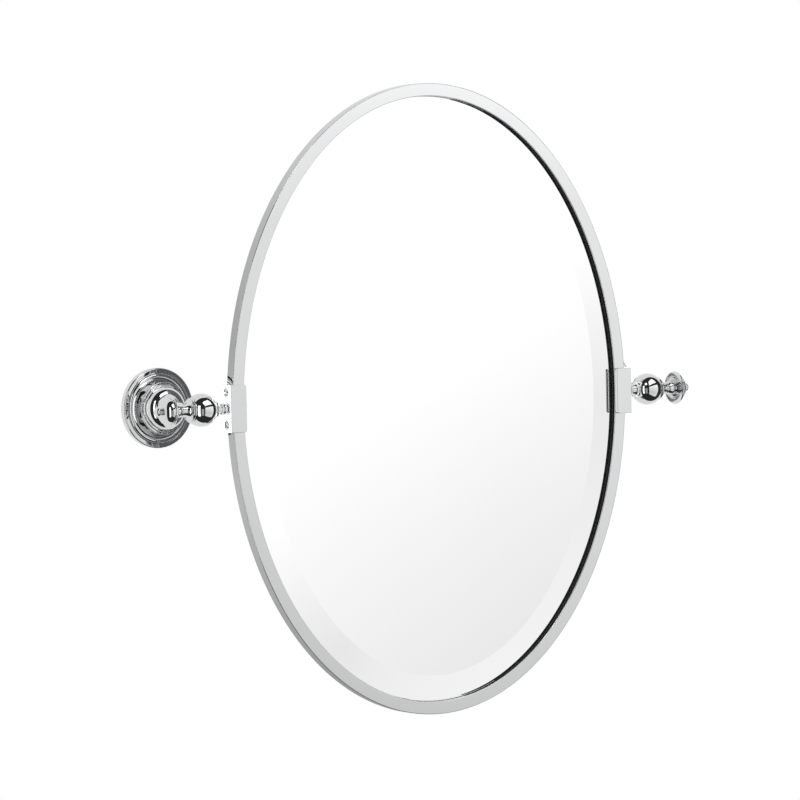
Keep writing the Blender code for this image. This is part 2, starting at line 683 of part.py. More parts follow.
# ---------------------------------------------------------------- assembly
def empty(name, place):
    made = bpy.data.objects.new(name, None)
    made.location = place
    bpy.context.scene.collection.objects.link(made)
    return made


def main():
    for old in list(bpy.data.objects):
        bpy.data.objects.remove(old, do_unlink=True)
    finish = finishes()
    tilt_axis = empty("tilt_axis", (0, -WALL_TO_AXIS, 0))
    for build in (frame_ring, mirror_glass, glass_seal, backing_board, board_clips):
        build(tilt_axis, finish)
    for side, word in SIDES:
        for build in (clamp, clamp_screws, joint_strap, pivot_boss):
            build(side, word, tilt_axis, finish)
        centre = empty(f"{word}_ball_centre", (side * BRACKET_SPACING / 2, -WALL_TO_AXIS, 0))
        for build in (ball, inner_neck, pivot_pin, friction_washer, outer_baluster, end_disc, finial,
                      post, wall_flange, wall_plate):
            build(side, word, centre, finish)


main()
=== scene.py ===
"""Oval tilting wall mirror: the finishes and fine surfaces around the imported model.

X runs along the tilt axis, Y goes into the wall (the mirror faces -Y), Z is up. Metres.
"""
from math import acos, cos, pi, radians, sin, sqrt

import bmesh
import bpy
from mathutils import Matrix, Vector

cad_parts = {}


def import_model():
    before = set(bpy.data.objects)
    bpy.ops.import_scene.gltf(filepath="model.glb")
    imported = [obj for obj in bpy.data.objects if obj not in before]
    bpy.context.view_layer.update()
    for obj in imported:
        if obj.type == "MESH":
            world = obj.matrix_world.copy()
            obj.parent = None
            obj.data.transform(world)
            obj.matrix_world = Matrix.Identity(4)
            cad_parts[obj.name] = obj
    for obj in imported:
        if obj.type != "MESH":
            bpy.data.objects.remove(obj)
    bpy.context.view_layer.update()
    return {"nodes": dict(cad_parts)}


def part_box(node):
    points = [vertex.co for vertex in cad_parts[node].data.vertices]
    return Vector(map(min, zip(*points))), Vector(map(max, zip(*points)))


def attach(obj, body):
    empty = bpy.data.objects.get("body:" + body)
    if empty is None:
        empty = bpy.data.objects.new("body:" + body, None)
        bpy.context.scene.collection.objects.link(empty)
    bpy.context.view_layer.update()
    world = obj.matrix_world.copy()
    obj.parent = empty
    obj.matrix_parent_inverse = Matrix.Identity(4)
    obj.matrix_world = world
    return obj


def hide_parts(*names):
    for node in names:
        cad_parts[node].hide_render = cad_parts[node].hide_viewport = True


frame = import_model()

# ---- camera
CAMERA_AZIMUTH = radians(-34.0)
CAMERA_ELEVATION = radians(2.35)
CAMERA_ROLL = radians(1.13)
CAMERA_DISTANCE = 4.02
CAMERA_LENS = 211.5  # millimetres
CAMERA_SENSOR = 36.0  # millimetres
CAMERA_TARGET_X = -0.0324  # the camera looks at a point on the tilt axis's plane
CAMERA_TARGET_Z = 0.0006

# ---- sizes the boxes don't give
GAP = 0.0003  # between two pieces that touch
EDGE = 0.00025  # rounding of turned edges
SOFT_EDGE = 0.0002  # of the slimmer turned pieces
FINE_EDGE = 0.00015  # of the discs and finials
CARVED_EDGE = 0.0001  # of the balls and screws
SEGMENTS = 128  # around flanges and discs
OVAL_STEPS = 480
FRAME_FACE = 0.011  # width of the hoop's front face
FRAME_LIP = 0.0032  # thickness of the lip in front of the glass
LIP_OVERLAP = 0.003
FRAME_WALL = 0.0015
FRAME_WEB = 0.0018
FRAME_SPLIT = 0.0005  # butt joint of the rolled hoop
FRAME_EDGE = 0.0007
BEVEL_WIDTH = 0.025
BEVEL_DROP = 0.0023
ARRIS = 0.0004  # ground edge of the glass
CLAMP_FRONT = 0.0034
CLAMP_SIDE = 0.0038
CLAMP_CORNER = 0.0025
CLAMP_EDGE = 0.0005
COLLAR = 0.0014  # thickness of the thin turned collars
SPIGOT = 0.004  # radius of the spigots in the ball
END_SPIGOT = 0.002  # radius of the spigots in the end disc
POST_COLLAR = 0.0078
POST_SPIGOT = 0.0057  # radius of the post's end in the wall plate
DISH = 0.0012  # how far the end disc's rim reaches back over the bead
DISC_RIM = 0.002
SCREW_HEAD_RADIUS = 0.0047
SCREW_HEAD_HEIGHT = 0.0024
SCREW_RADIUS = 0.0025
SCREW_CROWN = 0.0009  # how high the raised head is curved
SLOT_WIDTH = 0.0012
SLOT_DEPTH = 0.0015
SLOT_TURNS = {"upper": 0.27, "lower": 0.15}
SCREW_LENGTH = 0.008
STEM = 0.0045  # radius of the thin stems and necks
BOSS_RADIUS = 0.0074  # of the end disc's inner side
POST_BELLY = 0.0070
POST_WAIST = 0.0050
POST_BORE = 0.0060  # bore for the post in flange and plate
FLANGE_RIM = 0.0056  # height of the flange's outer rim
FLANGE_BEAD = 0.0026
FLANGE_STEPS = (0.0222, 0.0202, 0.0183)
FLANGE_STEP_HEIGHT = 0.0016
FLANGE_FIRST_STEP = 0.0125  # height at which the steps start
FLANGE_WALL = 0.0024
PLATE_THICKNESS = 0.004
PLATE_BOSS = 0.009
PLATE_HOLE = 0.0024
PLATE_SINK = 0.0042
PLATE_SINK_DEPTH = 0.0018
PLATE_HOLES_AT = (-0.020, 0.020)
CLIP_LENGTH = 0.014
CLIP_SHEET = 0.0006
CLIP_REACH = 0.008
CLIP_LEG = 0.005
CLIP_BEND = 0.0009
CLIP_HOLE = 0.0016  # radius

# ---- studio sizes and brightness
WINDOW_FOOT = -1.0
WINDOW_TOP = 2.2
WINDOW_BAR = (0.42, 0.72)
WINDOW_ENDS = ((0.594, 1.384), (1.27, 0.0))
WALL_LIGHT = 0.93
WALL_HALF = 2.4
SHADED_WALL_AT = 0.003  # the walls stand just behind the wall's plane
WALL_AT = 0.006
CLAMP_CARD_GAP = 0.0015  # from a clamp's outer side to its card
ROOM_RADIUS = 3.0
ROUND_RADIUS = 0.11
FLOOR_RADIUS = 1.9
FLOOR_LEVEL = -0.62

SIDES = ((-1, "left"), (1, "right"))


# ---- node trees
class Signal:
    """One output in a node tree; arithmetic on it adds Math nodes."""

    def __init__(self, tree, socket):
        self.tree = tree
        self.socket = socket

    def math(self, operation, first, second=0.0):
        return self.tree.add("ShaderNodeMath", {"operation": operation}, {0: first, 1: second})

    def __add__(self, other):
        return self.math("ADD", self, other)

    __radd__ = __add__

    def __sub__(self, other):
        return self.math("SUBTRACT", self, other)

    def __rsub__(self, other):
        return self.math("SUBTRACT", other, self)

    def __mul__(self, other):
        return self.math("MULTIPLY", self, other)

    __rmul__ = __mul__

    def __truediv__(self, other):
        return self.math("DIVIDE", self, other)

    def __rtruediv__(self, other):
        return self.math("DIVIDE", other, self)


class Tree:
    """Adds nodes to a material's, the world's or a geometry tree."""

    def __init__(self, tree):
        self.tree = tree

    def add(self, kind, settings=None, inputs=None, output=0):
        node = self.tree.nodes.new(kind)
        for name, value in (settings or {}).items():
            if name == "stops":
                set_stops(node.color_ramp, value)
            else:
                setattr(node, name, value)
        for key, value in (inputs or {}).items():
            self.feed(node.inputs[key], value)
        return Signal(self, node.outputs[output]) if node.outputs else node

    def feed(self, socket, value):
        if isinstance(value, Signal):
            self.tree.links.new(value.socket, socket)
        else:
            socket.default_value = value

    def ramp(self, factor, *stops):
        return self.add("ShaderNodeMapRange", {"interpolation_type": "SMOOTHSTEP"},
                        dict(enumerate((factor, *stops))))

    def mix(self, factor, first, second):
        return self.add("ShaderNodeMix", {"data_type": "RGBA"}, {0: factor, 6: first, 7: second}, 2)

    def noise(self, where, scale, detail=2.0, roughness=0.5):
        return self.add("ShaderNodeTexNoise", {}, {"Vector": where, "Scale": scale, "Detail": detail,
                                                   "Roughness": roughness})

    def object_place(self):
        return self.add("ShaderNodeTexCoord", output=3)

    def stretched(self, where, scale):
        return self.add("ShaderNodeMapping", {}, {"Vector": where, "Scale": scale})

    def bump(self, height, distance, strength=1.0):
        return self.add("ShaderNodeBump", {}, {"Strength": strength, "Distance": distance, "Height": height})


def set_stops(ramp, stops):
    while len(ramp.elements) < len(stops):
        ramp.elements.new(1.0)
    for element, (position, colour) in zip(ramp.elements, stops):
        element.position = position
        element.color = colour


def grey(value):
    return (value, value, value, 1.0)


def material(name):
    """A new material with one Principled shader; returns it, its tree and the shader's sockets."""
    made = bpy.data.materials.new(name)
    made.use_nodes = True
    tree = Tree(made.node_tree)
    return made, tree, made.node_tree.nodes["Principled BSDF"].inputs


# ---- finishes
def grained(name, noise, first, second, roughness, bump=None, specular=None):
    """A dull finish from one grain: noise is (scale, detail, roughness), roughness is (least, spread)."""
    made, tree, shader = material(name)
    grain = tree.noise(tree.object_place(), *noise)
    tree.feed(shader["Base Color"], tree.mix(grain, first, second))
    tree.feed(shader["Roughness"], roughness[0] + roughness[1] * grain)
    if bump:
        tree.feed(shader["Normal"], tree.bump(grain, bump))
    if specular:
        shader["Specular IOR Level"].default_value = specular
    return made


def polished_chrome():
    """Bright plate with a very slight haze, and a few fine wiping marks."""
    made, tree, shader = material("polished_chrome")
    where = tree.object_place()
    haze = tree.noise(where, 38.0, 3.0)
    streaks = tree.noise(tree.stretched(where, (1.0, 1.0, 0.2)), 700.0, 3.0, 0.6)
    wipes = tree.ramp(streaks, 0.6, 0.8, 0.0, 1.0)
    tree.feed(shader["Base Color"], tree.mix(haze, (0.675, 0.68, 0.685, 1), (0.705, 0.71, 0.715, 1)))
    tree.feed(shader["Roughness"], 0.008 + 0.012 * haze * haze + 0.012 * wipes)
    shader["Metallic"].default_value = 1.0
    return made


def silvered_glass():
    """Float glass with a silver coat: clear, with a few faint wiping marks."""
    made, tree, shader = material("silvered_glass")
    where = tree.object_place()
    wipes = tree.noise(tree.stretched(where, (9.0, 9.0, 3.0)), 1.0, 4.0, 0.6)
    dust = tree.noise(where, 900.0, 1.0)
    tree.feed(shader["Base Color"], tree.mix(wipes, grey(0.945), grey(0.965)))
    tree.feed(shader["Roughness"], 0.003 + 0.01 * tree.ramp(wipes * dust, 0.3, 0.5, 0.0, 1.0))
    shader["Metallic"].default_value = 1.0
    return made


def fibre_board():
    """Dark hardboard: pressed fibres, and scuffs where it was handled."""
    made, tree, shader = material("fibre_board")
    where = tree.object_place()
    fibres = tree.noise(tree.stretched(where, (1.0, 1.0, 0.35)), 1100.0, 4.0, 0.7)
    cross = tree.noise(tree.stretched(where, (0.3, 1.0, 1.0)), 900.0, 4.0, 0.7)
    cloud = tree.noise(where, 16.0, 3.0)
    pulp = fibres * 0.5 + cross * 0.5
    strokes = tree.noise(tree.stretched(where, (6.0, 1.0, 26.0)), 2.0, 6.0, 0.7)
    scuff = tree.ramp(strokes, 0.62, 0.75, 0.0, 1.0)
    dark = tree.mix(pulp, (0.082, 0.083, 0.087, 1), (0.108, 0.109, 0.114, 1))
    worn = tree.mix(tree.ramp(cloud, 0.35, 0.7, 0.0, 0.35), dark, (0.12, 0.121, 0.125, 1))
    tree.feed(shader["Base Color"], tree.mix(scuff * 0.2, worn, grey(0.2)))
    tree.feed(shader["Roughness"], 0.72 + 0.2 * pulp)
    tree.feed(shader["Normal"], tree.bump(pulp, 0.00006))
    return made


def spring_steel():
    """Cold-rolled strip with its rolling lines."""
    made, tree, shader = material("spring_steel")
    where = tree.object_place()
    lines = tree.noise(tree.stretched(where, (1.0, 0.05, 1.0)), 2200.0, 3.0, 0.6)
    cloud = tree.noise(where, 90.0, 3.0)
    tree.feed(shader["Base Color"], tree.mix(cloud, (0.40, 0.41, 0.43, 1), (0.62, 0.63, 0.64, 1)))
    tree.feed(shader["Roughness"], 0.22 + 0.2 * lines)
    tree.feed(shader["Normal"], tree.bump(lines, 0.00001))
    shader["Metallic"].default_value = 1.0
    return made


def zinc_casting():
    """Tumbled zinc die casting, dull and slightly pitted."""
    made, tree, shader = material("zinc_casting")
    where = tree.object_place()
    skin = tree.noise(where, 700.0, 5.0, 0.7)
    cloud = tree.noise(where, 60.0, 3.0)
    pits = tree.ramp(tree.noise(where, 1900.0, 2.0), 0.62, 0.72, 0.0, 1.0)
    tree.feed(shader["Base Color"], tree.mix(cloud, (0.34, 0.35, 0.37, 1), (0.52, 0.53, 0.55, 1)))
    tree.feed(shader["Roughness"], 0.38 + 0.22 * skin)
    tree.feed(shader["Normal"], tree.bump(skin - 0.6 * pits, 0.00008))
    shader["Metallic"].default_value = 1.0
    return made


CHROME = polished_chrome()
GLASS = silvered_glass()
GROUND_GLASS = grained("ground_glass", (2500.0, 3.0, 0.7), (0.22, 0.31, 0.28, 1), (0.36, 0.46, 0.42, 1),
                       (0.35, 0.25), bump=0.00003)
# Painted shade: the lip's inner wall is black, so that it makes a dark line beside the glass where the
# polished lip would show shade.
PAINTED_SHADE_EDGE = grained("blackened_edge", (420.0, 3.0, 0.5), grey(0.004), grey(0.012), (0.55, 0.2),
                     specular=0.12)
RUBBER = grained("seal_rubber", (1400.0, 4.0, 0.65), grey(0.012), grey(0.035), (0.65, 0.25), bump=0.00004)
BOARD = fibre_board()
STEEL = spring_steel()
NYLON = grained("white_nylon", (300.0, 3.0, 0.5), (0.70, 0.70, 0.66, 1), (0.82, 0.82, 0.79, 1), (0.38, 0.15),
                bump=0.00002)
ZINC = zinc_casting()


# ---- mesh helpers
def link(name, mesh, *finishes):
    for finish in finishes:
        mesh.materials.append(finish)
    made = bpy.data.objects.new(name, mesh)
    bpy.context.scene.collection.objects.link(made)
    return made


def remove(made):
    bpy.data.objects.remove(made, do_unlink=True)


def to_mesh(name, shape):
    """A closed bmesh as a mesh whose faces point outwards."""
    bmesh.ops.remove_doubles(shape, verts=shape.verts, dist=0.000001)
    bmesh.ops.recalc_face_normals(shape, faces=shape.faces)
    mesh = bpy.data.meshes.new(name)
    shape.to_mesh(mesh)
    shape.free()
    return mesh


def evaluated(made):
    """The object's mesh with its modifiers applied."""
    bpy.context.view_layer.update()
    graph = bpy.context.evaluated_depsgraph_get()
    done = made.evaluated_get(graph)
    return bpy.data.meshes.new_from_object(done, preserve_all_data_layers=True, depsgraph=graph)


def apply_modifiers(made):
    mesh = evaluated(made)
    made.modifiers.clear()
    made.data = mesh
    return made


def carve(made, cutter):
    """Cuts another closed mesh out of a piece."""
    guide = link("guide", cutter)
    modifier = made.modifiers.new("carve", "BOOLEAN")
    modifier.operation = "DIFFERENCE"
    modifier.solver = "EXACT"
    modifier.object = guide
    apply_modifiers(made)
    remove(guide)
    return made


def smooth(made, angle=radians(38)):
    """Smooth shading that keeps flat faces flat and edges crisp."""
    made.data.shade_smooth()
    made.data.set_sharp_from_angle(angle=angle)
    modifier = made.modifiers.new("weighted", "WEIGHTED_NORMAL")
    modifier.mode = "FACE_AREA"
    modifier.weight = 100
    modifier.keep_sharp = True
    return apply_modifiers(made)


def place(made, body, slot, *nodes):
    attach(made, body)
    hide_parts(*nodes)
    return made


def arc(centre, radius, start, end, steps=10):
    """Points on an arc, angles in turns from the first axis towards the second."""
    points = []
    for step in range(steps + 1):
        angle = 2 * pi * (start + (end - start) * step / steps)
        points.append((centre[0] + radius[0] * cos(angle), centre[1] + radius[1] * sin(angle)))
    return points


def eased(outline, radius=EDGE, steps=3):
    """The closed outline with its hard corners rounded."""
    points = [Vector(point) for point in outline]
    made = []
    for index, corner in enumerate(points):
        back = points[index - 1] - corner
        ahead = points[(index + 1) % len(points)] - corner
        if back.length < 1e-7 or ahead.length < 1e-7:
            made.append(tuple(corner))
            continue
        inside = acos(max(-1.0, min(1.0, back.normalized().dot(ahead.normalized()))))
        if inside > radians(150) or corner[0] < 1e-7:
            made.append(tuple(corner))
            continue
        reach = radius / max(sin(inside / 2), 0.2) * cos(inside / 2)
        reach = min(reach, 0.45 * back.length, 0.45 * ahead.length)
        first = corner + back.normalized() * reach
        last = corner + ahead.normalized() * reach
        for step in range(steps + 1):
            share = step / steps
            point = first.lerp(corner, share).lerp(corner.lerp(last, share), share)
            made.append(tuple(point))
    return made


def turned_mesh(name, outline, where, segments=SEGMENTS):
    """Turns a closed outline of (radius, height) about local Z."""
    shape = bmesh.new()
    rings = []
    for radius, height in outline:
        if radius < 1e-7:
            rings.append([shape.verts.new(where @ Vector((0, 0, height)))])
            continue
        turn = [2 * pi * step / segments for step in range(segments)]
        ring = [Vector((radius * cos(angle), radius * sin(angle), height)) for angle in turn]
        rings.append([shape.verts.new(where @ point) for point in ring])
    for ring, following in zip(rings, rings[1:] + rings[:1]):
        for step in range(segments):
            after = (step + 1) % segments
            corners = (ring[step % len(ring)], ring[after % len(ring)],
                       following[after % len(following)], following[step % len(following)])
            corners = list(dict.fromkeys(corners))
            if len(corners) > 2:
                shape.faces.new(corners)
    return to_mesh(name, shape)


def turned(name, outline, where, finish, segments=SEGMENTS, edge=EDGE):
    return link(name, turned_mesh(name, eased(outline, edge), where, segments), finish)


def prism_mesh(name, outline, length, where=Matrix()):
    """Extrudes a closed (x, y) outline, centred on local Z."""
    shape = bmesh.new()
    face = shape.faces.new([shape.verts.new((x, y, -length / 2)) for x, y in outline])
    made = bmesh.ops.extrude_face_region(shape, geom=[face])
    moved = [item for item in made["geom"] if isinstance(item, bmesh.types.BMVert)]
    bmesh.ops.translate(shape, verts=moved, vec=(0, 0, length))
    bmesh.ops.transform(shape, matrix=where, verts=shape.verts)
    return to_mesh(name, shape)


def turned_piece(word, piece, node, outline, where, segments=SEGMENTS, edge=EDGE, finish=CHROME,
                 slot="chrome", body="wall_brackets"):
    """One side's turned piece, smoothed and tied to its body and node."""
    made = smooth(turned(f"{word}_{piece}", outline, where, finish, segments, edge))
    return place(made, body, slot, f"{word}_{node}")


def collar(radius, start, steps=10):
    """The outline of a thin round-edged collar."""
    half = COLLAR / 2
    return arc((radius - half, start + half), (half, half), -0.25, 0.25, steps)


def drill(made, outline, where, segments):
    """Cuts a turned outline out of a piece."""
    return carve(made, turned_mesh("drill", outline, where, segments))


def rod(radius, half):
    """The outline of a plain round rod that reaches the same way up and down."""
    return [(0, -half), (radius, -half), (radius, half), (0, half)]


def outwards(centre, side):
    """Local Z points away from the mirror's middle."""
    return Matrix.Translation(centre) @ Matrix.Rotation(side * pi / 2, 4, "Y")


# ---- places from the frame
def middle(node):
    low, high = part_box(node)
    return (low + high) / 2


def ball_centre(word):
    """The ball's middle: over its flange's middle, on the pivot's axis."""
    return Vector((middle(f"{word}_wall_flange").x, middle(f"{word}_pivot_pin").y, 0))


def radius_of(node):
    low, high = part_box(node)
    return (high.z - low.z) / 2


def reach_of(node, centre, side):
    """How far from a centre a node starts and ends, measured outwards along X."""
    low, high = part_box(node)
    ends = (side * (low.x - centre.x), side * (high.x - centre.x))
    return min(ends), max(ends)


HOOP_LOW, HOOP_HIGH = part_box("frame_ring")
SEMI_X = HOOP_HIGH.x
SEMI_Z = HOOP_HIGH.z
HOOP_FRONT = HOOP_LOW.y
HOOP_DEPTH = HOOP_HIGH.y - HOOP_LOW.y
GLASS_INSET = SEMI_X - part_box("mirror_glass")[1].x


def oval(inset, y, turn):
    """A point of the curve that runs parallel to the hoop's outside."""
    angle = 2 * pi * turn
    x = SEMI_X * cos(angle)
    z = SEMI_Z * sin(angle)
    normal = Vector((x / SEMI_X ** 2, 0, z / SEMI_Z ** 2)).normalized()
    return Vector((x, y, z)) - inset * normal


# ---- geometry trees
def geometry_tree(name, *inputs):
    """An empty geometry tree with a geometry input and the named ones; returns it and its signals."""
    group = bpy.data.node_groups.new(name, "GeometryNodeTree")
    group.interface.new_socket("Geometry", in_out="OUTPUT", socket_type="NodeSocketGeometry")
    group.interface.new_socket("Geometry", in_out="INPUT", socket_type="NodeSocketGeometry")
    for word, kind in inputs:
        group.interface.new_socket(word, in_out="INPUT", socket_type="NodeSocket" + kind)
    tree = Tree(group)
    entry = group.nodes.new("NodeGroupInput")
    signals = {socket.name: Signal(tree, socket) for socket in entry.outputs if socket.name}
    return tree, signals


def end_tree(tree, shape, finish):
    real = tree.add("GeometryNodeRealizeInstances", {}, {"Geometry": shape})
    coated = tree.add("GeometryNodeSetMaterial", {}, {"Geometry": real, "Material": finish})
    tree.feed(tree.tree.nodes.new("NodeGroupOutput").inputs[0], coated)
    return tree.tree


def run_tree(name, host, group, values):
    """Runs a geometry tree on a host mesh and keeps the result as a plain piece."""
    made = link(name, host)
    modifier = made.modifiers.new("build", "NODES")
    modifier.node_group = group
    for item in group.interface.items_tree:
        if item.in_out == "INPUT" and item.name in values:
            modifier[item.identifier] = values[item.name]
    return apply_modifiers(made)


def hoop_tree():
    """Sweeps the host outline around an oval of the given half width and height."""
    tree, given = geometry_tree("oval_hoop", ("Half Width", "Float"), ("Half Height", "Float"),
                                ("Steps", "Int"), ("First Angle", "Float"), ("Angle Step", "Float"),
                                ("Closed", "Bool"), ("Corner Radius", "Float"), ("Finish", "Material"))
    line = tree.add("GeometryNodeMeshLine", {}, {"Count": given["Steps"]})
    index = tree.add("GeometryNodeInputIndex")
    angle = given["First Angle"] + index * given["Angle Step"]
    across = given["Half Width"] * tree.add("ShaderNodeMath", {"operation": "COSINE"}, {0: angle})
    up = given["Half Height"] * tree.add("ShaderNodeMath", {"operation": "SINE"}, {0: angle})
    point = tree.add("ShaderNodeCombineXYZ", {}, {"X": across, "Z": up})
    bent = tree.add("GeometryNodeSetPosition", {}, {"Geometry": line, "Position": point})
    path = tree.add("GeometryNodeMeshToCurve", {}, {"Mesh": bent})
    path = tree.add("GeometryNodeSetSplineCyclic", {}, {"Geometry": path, "Cyclic": given["Closed"]})
    path = tree.add("GeometryNodeSetCurveNormal", {"mode": "FREE"},
                    {"Curve": path, "Normal": (0.0, 1.0, 0.0)})
    section = tree.add("GeometryNodeMeshToCurve", {}, {"Mesh": given["Geometry"]})
    rounding = {"Curve": section, "Count": 4, "Radius": given["Corner Radius"], "Limit Radius": True}
    section = tree.add("GeometryNodeFilletCurve", {"mode": "POLY"}, rounding)
    swept = tree.add("GeometryNodeCurveToMesh", {},
                     {"Curve": path, "Profile Curve": section, "Fill Caps": True})
    return end_tree(tree, swept, given["Finish"])


def scatter_tree():
    """Puts one item on each host point, turned by the point's facing."""
    tree, given = geometry_tree("fastenings", ("Item", "Object"), ("Finish", "Material"))
    item = tree.add("GeometryNodeObjectInfo", {"transform_space": "ORIGINAL"}, {"Object": given["Item"]}, 4)
    facing = tree.add("GeometryNodeInputNamedAttribute", {"data_type": "FLOAT_VECTOR"}, {"Name": "facing"})
    turn = tree.add("FunctionNodeEulerToRotation", {}, {0: facing})
    copies = tree.add("GeometryNodeInstanceOnPoints", {},
                      {"Points": given["Geometry"], "Instance": item, "Rotation": turn})
    return end_tree(tree, copies, given["Finish"])


HOOP_TREE = hoop_tree()
SCATTER_TREE = scatter_tree()


def outline_mesh(name, outline):
    """A closed line of (depth, inset) points, to be swept by the hoop tree."""
    mesh = bpy.data.meshes.new(name)
    edges = [(index, (index + 1) % len(outline)) for index in range(len(outline))]
    mesh.from_pydata([(depth, inset, 0.0) for depth, inset in outline], edges, [])
    return mesh


def oval_hoop(name, outline, corner, finish, split=0.0):
    """Sweeps a section of (depth from the front, inset from the outside) around the hoop's oval."""
    gap = split / SEMI_Z
    values = {
        "Half Width": SEMI_X,
        "Half Height": SEMI_Z,
        "Steps": OVAL_STEPS,
        "First Angle": gap / 2,
        "Angle Step": (2 * pi - gap) / (OVAL_STEPS - 1 if split else OVAL_STEPS),
        "Closed": not split,
        "Corner Radius": corner,
        "Finish": finish,
    }
    made = run_tree(name, outline_mesh(name, outline), HOOP_TREE, values)
    shape = bmesh.new()
    shape.from_mesh(made.data)
    bmesh.ops.translate(shape, verts=shape.verts, vec=(0, HOOP_FRONT, 0))
    finishes = list(made.data.materials)
    made.data = to_mesh(name, shape)
    for kept in finishes:
        made.data.materials.append(kept)
    return made


def scatter(name, item, points, finish):
    """Copies of one item: points are (place, matrix that turns it)."""
    host = bpy.data.meshes.new(name)
    host.from_pydata([tuple(where) for where, turn in points], [], [])
    facing = host.attributes.new("facing", "FLOAT_VECTOR", "POINT")
    for index, (where, turn) in enumerate(points):
        facing.data[index].vector = turn.to_euler()
    made = run_tree(name, host, SCATTER_TREE, {"Item": item, "Finish": finish})
    remove(item)
    return made


# ---- mirror
def frame_hoop():
    """The rolled hoop: front face and lip, a channel that is open at the back, and its butt joint."""
    rebate = FRAME_FACE - LIP_OVERLAP
    outline = [
        (0.0, 0.0),
        (0.0, FRAME_FACE),
        (FRAME_LIP, FRAME_FACE),
        (FRAME_LIP, rebate),
        (HOOP_DEPTH, rebate),
        (HOOP_DEPTH, rebate - FRAME_WALL),
        (FRAME_WEB, rebate - FRAME_WALL),
        (FRAME_WEB, FRAME_WALL),
        (HOOP_DEPTH, FRAME_WALL),
        (HOOP_DEPTH, 0.0),
    ]
    made = oval_hoop("frame_hoop", outline, FRAME_EDGE, CHROME, FRAME_SPLIT)
    made.data.materials.append(PAINTED_SHADE_EDGE)
    # The lip's inner faces take the black finish, which is painted shade beside the glass.
    for face in made.data.polygons:
        behind = face.center.y - HOOP_FRONT
        squashed = Vector((face.center.x * SEMI_Z, 0, face.center.z * SEMI_X)).length
        inset = (SEMI_X * SEMI_Z - squashed) / SEMI_Z
        on_lip = inset > rebate + FRAME_EDGE / 2
        if on_lip and behind > FRAME_EDGE:
            face.material_index = 1
    smooth(made)
    return place(made, "mirror", "chrome", "frame_ring")


def oval_plate(name, outline, finishes, steps=OVAL_STEPS):
    """A closed oval plate; the outline of (inset, y) runs from its front middle to its back middle."""
    shape = bmesh.new()
    loops = [[shape.verts.new(oval(inset, y, step / steps)) for step in range(steps)]
             for inset, y in outline]
    for loop, following in zip(loops, loops[1:]):
        for step in range(steps):
            after = (step + 1) % steps
            shape.faces.new((loop[step], loop[after], following[after], following[step]))
    shape.faces.new(loops[0])
    shape.faces.new(loops[-1])
    return link(name, to_mesh(name, shape), *finishes)


def mirror_glass():
    """Silvered glass with a wide bevel and a ground rim."""
    low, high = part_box("mirror_glass")
    edge = low.y + BEVEL_DROP
    outline = [
        (GLASS_INSET + BEVEL_WIDTH, low.y),
        (GLASS_INSET + ARRIS, edge - ARRIS * BEVEL_DROP / BEVEL_WIDTH),
        (GLASS_INSET, edge + ARRIS),
        (GLASS_INSET, high.y - ARRIS),
        (GLASS_INSET + ARRIS, high.y),
    ]
    made = oval_plate("bevelled_glass", outline, (GLASS, GROUND_GLASS))
    for face in made.data.polygons:
        if abs(face.normal.y) < 0.9:
            face.material_index = 1
    made.data.shade_smooth()
    made.data.set_sharp_from_angle(angle=radians(2))
    return place(made, "mirror", "silvered_glass", "mirror_glass")


def glass_seal():
    """The strip that lies between the lip and the glass, with rounded corners."""
    low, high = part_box("glass_seal")
    front = low.y - HOOP_FRONT
    back = high.y - HOOP_FRONT
    outline = [(front, GLASS_INSET), (front, FRAME_FACE), (back, FRAME_FACE), (back, GLASS_INSET)]
    made = smooth(oval_hoop("glass_seal_strip", outline, (back - front) / 3, RUBBER))
    return place(made, "mirror", "rubber", "glass_seal")


def backing_board():
    low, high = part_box("backing_board")
    edge = ARRIS
    outline = [
        (GLASS_INSET + edge, low.y),
        (GLASS_INSET, low.y + edge),
        (GLASS_INSET, high.y - edge),
        (GLASS_INSET + edge, high.y),
    ]
    made = smooth(oval_plate("board", outline, (BOARD,), OVAL_STEPS // 2))
    return place(made, "mirror", "board", "backing_board")


def board_clips():
    """Six spring clips: a leg in the hoop's channel, a bend, and a tab that presses on the board."""
    nodes = sorted(node for node in frame["nodes"] if node.startswith("board_clip_"))
    leg = FRAME_FACE - LIP_OVERLAP - FRAME_WALL - GAP - CLIP_SHEET
    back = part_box(nodes[0])[1].y - HOOP_FRONT
    start = HOOP_DEPTH - CLIP_LEG
    end = GLASS_INSET + CLIP_REACH
    outer = [(leg, start)]
    outer += arc((leg + CLIP_BEND, back - CLIP_BEND), (CLIP_BEND, CLIP_BEND), 0.5, 0.25, 6)
    outer += [(end, back)]
    inner_bend = CLIP_BEND - CLIP_SHEET
    inner = [(end, back - CLIP_SHEET)]
    inner += arc((leg + CLIP_BEND, back - CLIP_BEND), (inner_bend, inner_bend), 0.25, 0.5, 6)
    inner += [(leg + CLIP_SHEET, start)]
    item = link("clip", prism_mesh("clip", outer + inner, CLIP_LENGTH))
    corners = item.modifiers.new("corners", "BEVEL")
    corners.width = CLIP_SHEET / 6
    corners.segments = 2
    corners.limit_method = "ANGLE"
    apply_modifiers(item)
    across = Matrix.Translation(((GLASS_INSET + end) / 2, 0, 0)) @ Matrix.Rotation(pi / 2, 4, "X")
    drill(item, rod(CLIP_HOLE, 1), across, 32)
    points = []
    for number in range(len(nodes)):
        turn = (number + 0.5) / len(nodes)
        edge = oval(0.0, HOOP_FRONT, turn)
        inward = (oval(1.0, HOOP_FRONT, turn) - edge).normalized()
        back_wards = Vector((0, 1, 0))
        points.append((edge, Matrix((inward, back_wards, inward.cross(back_wards))).transposed()))
    made = smooth(scatter("board_clips", item, points, STEEL))
    return place(made, "mirror", "spring_steel", *nodes)


